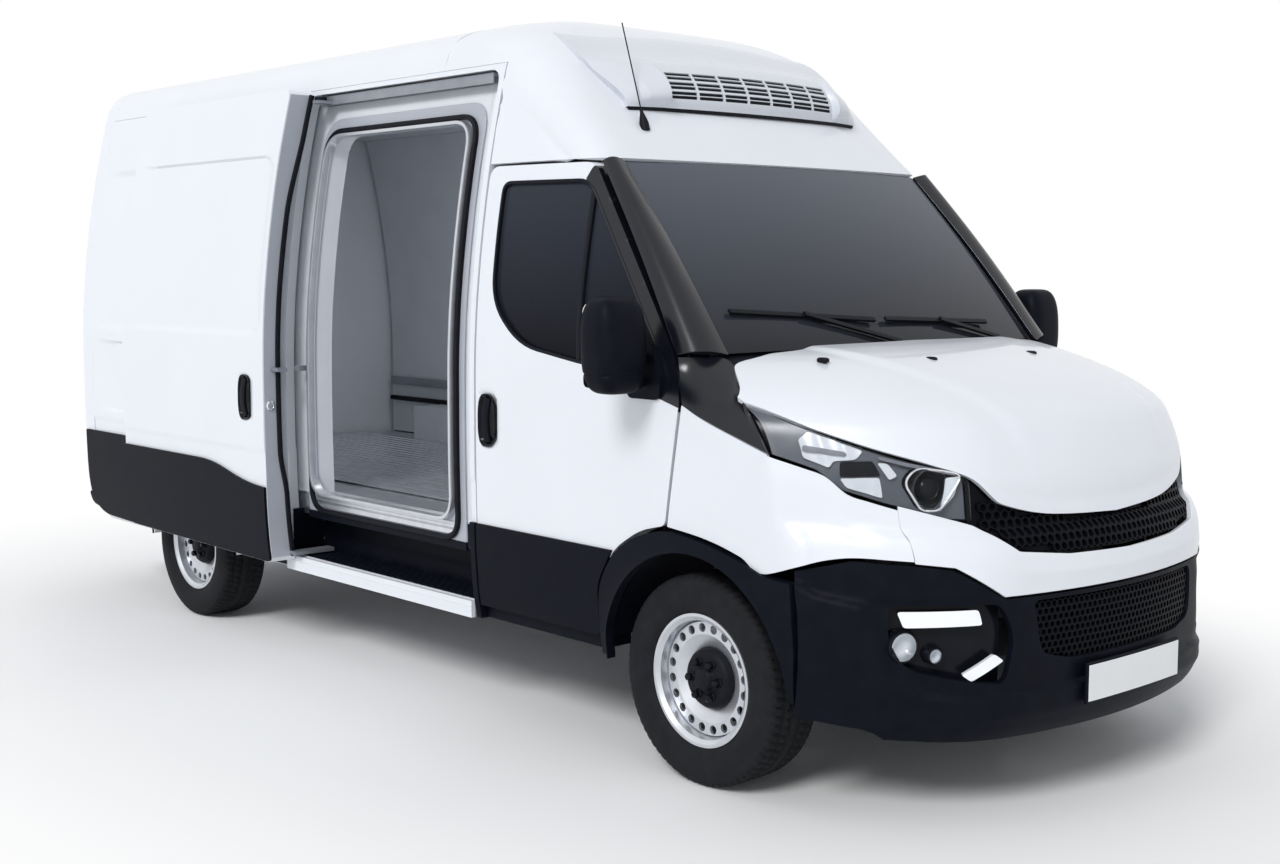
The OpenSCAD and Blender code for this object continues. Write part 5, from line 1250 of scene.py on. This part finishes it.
for nm, x0, e in (("rear", STEP_R + 4, -1), ("front", STEP_F - 4, 1)):
    shell("step_end_" + nm, np.stack([x0 + 1.5 * np.sin(ZE / 6), YE, ZE], -1), 3, "black_plastic",
          toward=(x0 + e * 400, -900, 500))
XR, ZR = grid(np.linspace(STEP_R, STEP_F, 60), np.linspace(STEP_Z, 606, 8))
shell("step_riser", np.stack([XR, -815 - 2.5 * np.sin(ZR / 6), ZR], -1), 3, "black_plastic",
      toward=(0, 0, 500))

# Door handles: an oval dish and a bowed bar across it
a = turn_of(48)
OVAL = np.stack([52 * power(np.cos(a), 0.6), 98 * power(np.sin(a), 0.75)], 1)
bow = np.sin(np.linspace(0.12, np.pi - 0.12, 24))
HANDLES = (("door_left", "front_door_left", 1, ahead(-1081), 0.0),
           ("door_right", "front_door_right", -1, ahead(-1081), 0.0),
           ("slide", "body", -1, ahead(-2635), SLIDE_OUT))
for nm, body, s, x0, off in HANDLES:
    def dish(u, v):
        """The dish: the body side sunk by the square root of what is left of 1 by the cubes of u and v."""
        e = np.clip(1 - (np.abs(u / 45) ** 3 + np.abs(v / 90) ** 3), 0, 1) ** 0.5
        return np.stack([x0 + u, s * (half_w(HANDLE_Z + v) + off + 5 - 26 * e), HANDLE_Z + v], -1)

    panel("handle_dish_" + nm, OVAL, dish, 5, "gloss_black", body, push=(0, -s, 0), hu=7, hv=7)
    path = np.stack([np.full(24, x0 + 2.0), s * (float(half_w(HANDLE_Z)) + off - 4 + 13 * bow),
                     np.linspace(HANDLE_Z - 79, HANDLE_Z + 79, 24)], 1)
    sweep("handle_bar_" + nm, path, bar(19, 6, 5, 4), "black_plastic", body, up=(0, s, 0))

# Washer jets on the bonnet
for k, place in enumerate(from_axle((385, -280, 1384), (385, 280, 1384), (250, -660, 1390))):
    group(f"washer_jet_{k}", [pad_of(place, (22, 13, 9), 3.0)], "seal", "bonnet")

# Load space: floor ribs, rub rails on the wall, and guards over the fans, which lie on the sloped face
fx, fy = grid(np.linspace(REAR + 118, ahead(-1310), 6), np.linspace(-632, 632, 240))
shell("floor_ribs", np.stack([fx, fy, FLOOR_Z + 5 * (np.sin(fy / 9.5) > 0.1)], -1), 5, "floor_aluminium",
      toward=(0, 0, 300))
rail_x = np.linspace(REAR + 130, ahead(-1312), 40)
for nm, z0, hgt, dep, mat in (("rub_rail_upper", 1010, 46, 24, "grey_metal"),
                              ("rub_rail_lower", 905, 26, 30, "seal")):
    wall_y = float(half_w(z0)) - 152 - dep / 2
    sweep(nm, np.stack([rail_x, np.full(40, wall_y), np.full(40, float(z0))], 1), bar(dep / 2, hgt / 2, 6, 4),
          mat)
FAN_X, FAN_Z, FAN_SLOPE = ahead(-1500), 2216, 0.2556
for k, y0 in enumerate((-210, 210)):
    for j, r in enumerate((30, 55, 80, 104)):
        across, along = circle(r, 60).T
        sweep(f"fan_guard_{k}_{j}", np.stack([FAN_X + across, y0 + along, FAN_Z - FAN_SLOPE * across], 1),
              circle(2.2, 6), "seal", closed=True, up=(0, 0, 1))

# Seats: crowned cushions with seams


def cushion_of(c, size, tilt, flutes, p=4.0, crown=0.16, n=46, m=72):
    """A cushion: a rounded box, its face crowned both ways and pressed in along flutes, tilted about Y."""
    u, v = ball_angles(n, m)
    f = lambda t: power(t, 2 / p)
    x, y, z = f(np.cos(u)) * f(np.cos(v)), f(np.cos(u)) * f(np.sin(v)), f(np.sin(u)) + 0 * v
    top = np.maximum(z, 0)
    seam = 0.10 * top * bell(np.abs(y), 0.62, 0.05)
    flute = 0.05 * top * np.cos(np.pi * flutes * x) ** 8 * (np.abs(y) < 0.6)
    z = z * (1 + crown * (1 - x ** 2) * (1 - y ** 2)) - seam - flute
    V = np.vstack([np.stack([x, y, z], -1).reshape(-1, 3), [(0, 0, -1), (0, 0, 1 + crown)]]) * size
    a = math.radians(tilt)
    R = np.array([[math.cos(a), 0, math.sin(a)], [0, 1, 0], [-math.sin(a), 0, math.cos(a)]])
    return V @ R.T + np.asarray(c, float), ball_faces(n - 2, m)


# Each cushion: distance ahead of the front axle, height, half length, half width (none: the seat's),
# half depth, tilt and flutes
CUSHIONS = (("base", -820, 1020, 226, None, 62, -2, 5), ("back", -1082, 1370, 290, None, 50, 83, 5),
            ("head", -1112, 1752, 72, 116, 36, 88, 2))
for k, (y0, seat_w) in enumerate(((430, 240), (-110, 216), (-550, 216))):
    for nm, x, z, half_l, half_b, half_d, tilt, flutes in CUSHIONS:
        cushion = cushion_of((ahead(x), y0, z), (half_l, half_b or seat_w, half_d), tilt, flutes)
        group(f"seat_{nm}_{k}", [cushion], "seat_fabric",
                        replaces=["seats"] if (k, nm) == (0, "base") else ())
    group(f"seat_posts_{k}", [pad_of((ahead(-1108), y0 + e, 1680), (7, 7, 60), 3) for e in (-40, 40)],
          "chrome")
for k, (y0, w) in enumerate(((430, 190), (-330, 390))):
    group(f"seat_box_{k}", [pad_of((ahead(-840), y0, 822), (200, w, 138), 9)], "cab_trim")

# Stage, light and camera, in metres


def seen_rays(tree):
    """One where the camera, a mirror or a clear lens looks, nought where light is gathered."""
    way, mirrored, seen = (node(tree, kind) for kind in ("LightPath", "Math", "Math"))
    mirrored.operation = seen.operation = "ADD"
    seen.use_clamp = True
    join(tree, (way.outputs["Is Camera Ray"], mirrored.inputs[0]),
         (way.outputs["Is Glossy Ray"], mirrored.inputs[1]),
         (mirrored.outputs[0], seen.inputs[0]), (way.outputs["Is Transmission Ray"], seen.inputs[1]))
    return seen.outputs[0]


def aim(o, way):
    """Turns a light to shine along a direction."""
    o.rotation_mode = "QUATERNION"
    o.rotation_quaternion = Vector(way).to_track_quat("-Z", "Y")


# The floor: matt near the van, and fading with distance to plain white where it is looked at
FLOOR_HALF, FLOOR_DROP = 40, -0.001
floor_me = bpy.data.meshes.new("floor")
corners = [(x * FLOOR_HALF, y * FLOOR_HALF, FLOOR_DROP) for x, y in ((-1, -1), (1, -1), (1, 1), (-1, 1))]
floor_me.from_pydata(corners, [], [(0, 1, 2, 3)])
floor = add("floor", floor_me)
floor_mat = bpy.data.materials.new("floor")
floor_mat.use_nodes = True
t = floor_mat.node_tree
matt = t.nodes["Principled BSDF"]
for key, value in (("Base Color", (0.95, 0.95, 0.95, 1)), ("Roughness", 0.9), ("Specular IOR Level", 0.1)):
    matt.inputs[key].default_value = value
place, oval, far = node(t, "TexCoord"), node(t, "Mapping", Scale=(0.62, 1.0, 0.0)), node(t, "VectorMath")
fade, share = node(t, "MapRange", From_Min=1.7, From_Max=3.4), node(t, "Math")
white, mix = node(t, "Emission", Color=(1, 1, 1, 1), Strength=1.0), node(t, "MixShader")
far.operation, fade.interpolation_type, share.operation = "LENGTH", "SMOOTHSTEP", "MULTIPLY"
join(t, (place.outputs["Object"], oval.inputs["Vector"]), (oval.outputs[0], far.inputs[0]),
     (far.outputs["Value"], fade.inputs["Value"]), (fade.outputs["Result"], share.inputs[0]),
     (seen_rays(t), share.inputs[1]), (share.outputs[0], mix.inputs[0]), (matt.outputs[0], mix.inputs[1]),
     (white.outputs[0], mix.inputs[2]), (mix.outputs[0], t.nodes["Material Output"].inputs["Surface"]))
floor_me.materials.append(floor_mat)

# The sky: white where it is looked at, a cool even light elsewhere
world = bpy.data.worlds.new("studio")
bpy.context.scene.world = world
world.use_nodes = True
t = world.node_tree
sky = t.nodes["Background"]
sky.inputs["Color"].default_value = (0.93, 0.96, 1.0, 1)
sky.inputs["Strength"].default_value = 0.56
white, mix = node(t, "Background", Color=(1, 1, 1, 1), Strength=1.0), node(t, "MixShader")
join(t, (seen_rays(t), mix.inputs[0]), (sky.outputs[0], mix.inputs[1]), (white.outputs[0], mix.inputs[2]),
     (mix.outputs[0], t.nodes["World Output"].inputs["Surface"]))

sun = add("sun", bpy.data.lights.new("sun", "SUN"))
sun.data.energy, sun.data.angle = 1.8, math.radians(20)
aim(sun, (-0.30, 0.72, -0.62))
load_lamp = add("load_lamp", bpy.data.lights.new("load_lamp", "AREA"))
load_lamp.data.energy, load_lamp.data.size = 7.5, 1.0
load_lamp.location = (-0.55, 0.1, 2.42)
aim(load_lamp, (0, 0, -1))

cam = add("camera", bpy.data.cameras.new("camera"))
cam.location = (5.5509, -4.5637, 1.6921)
cam.rotation_euler = (math.radians(84.138), 0, math.radians(48.029))
cam.data.lens, cam.data.sensor_width = 45.73, 36
cam.data.clip_end = 200
bpy.context.scene.camera = cam
bpy.context.scene.view_settings.view_transform = "Standard"
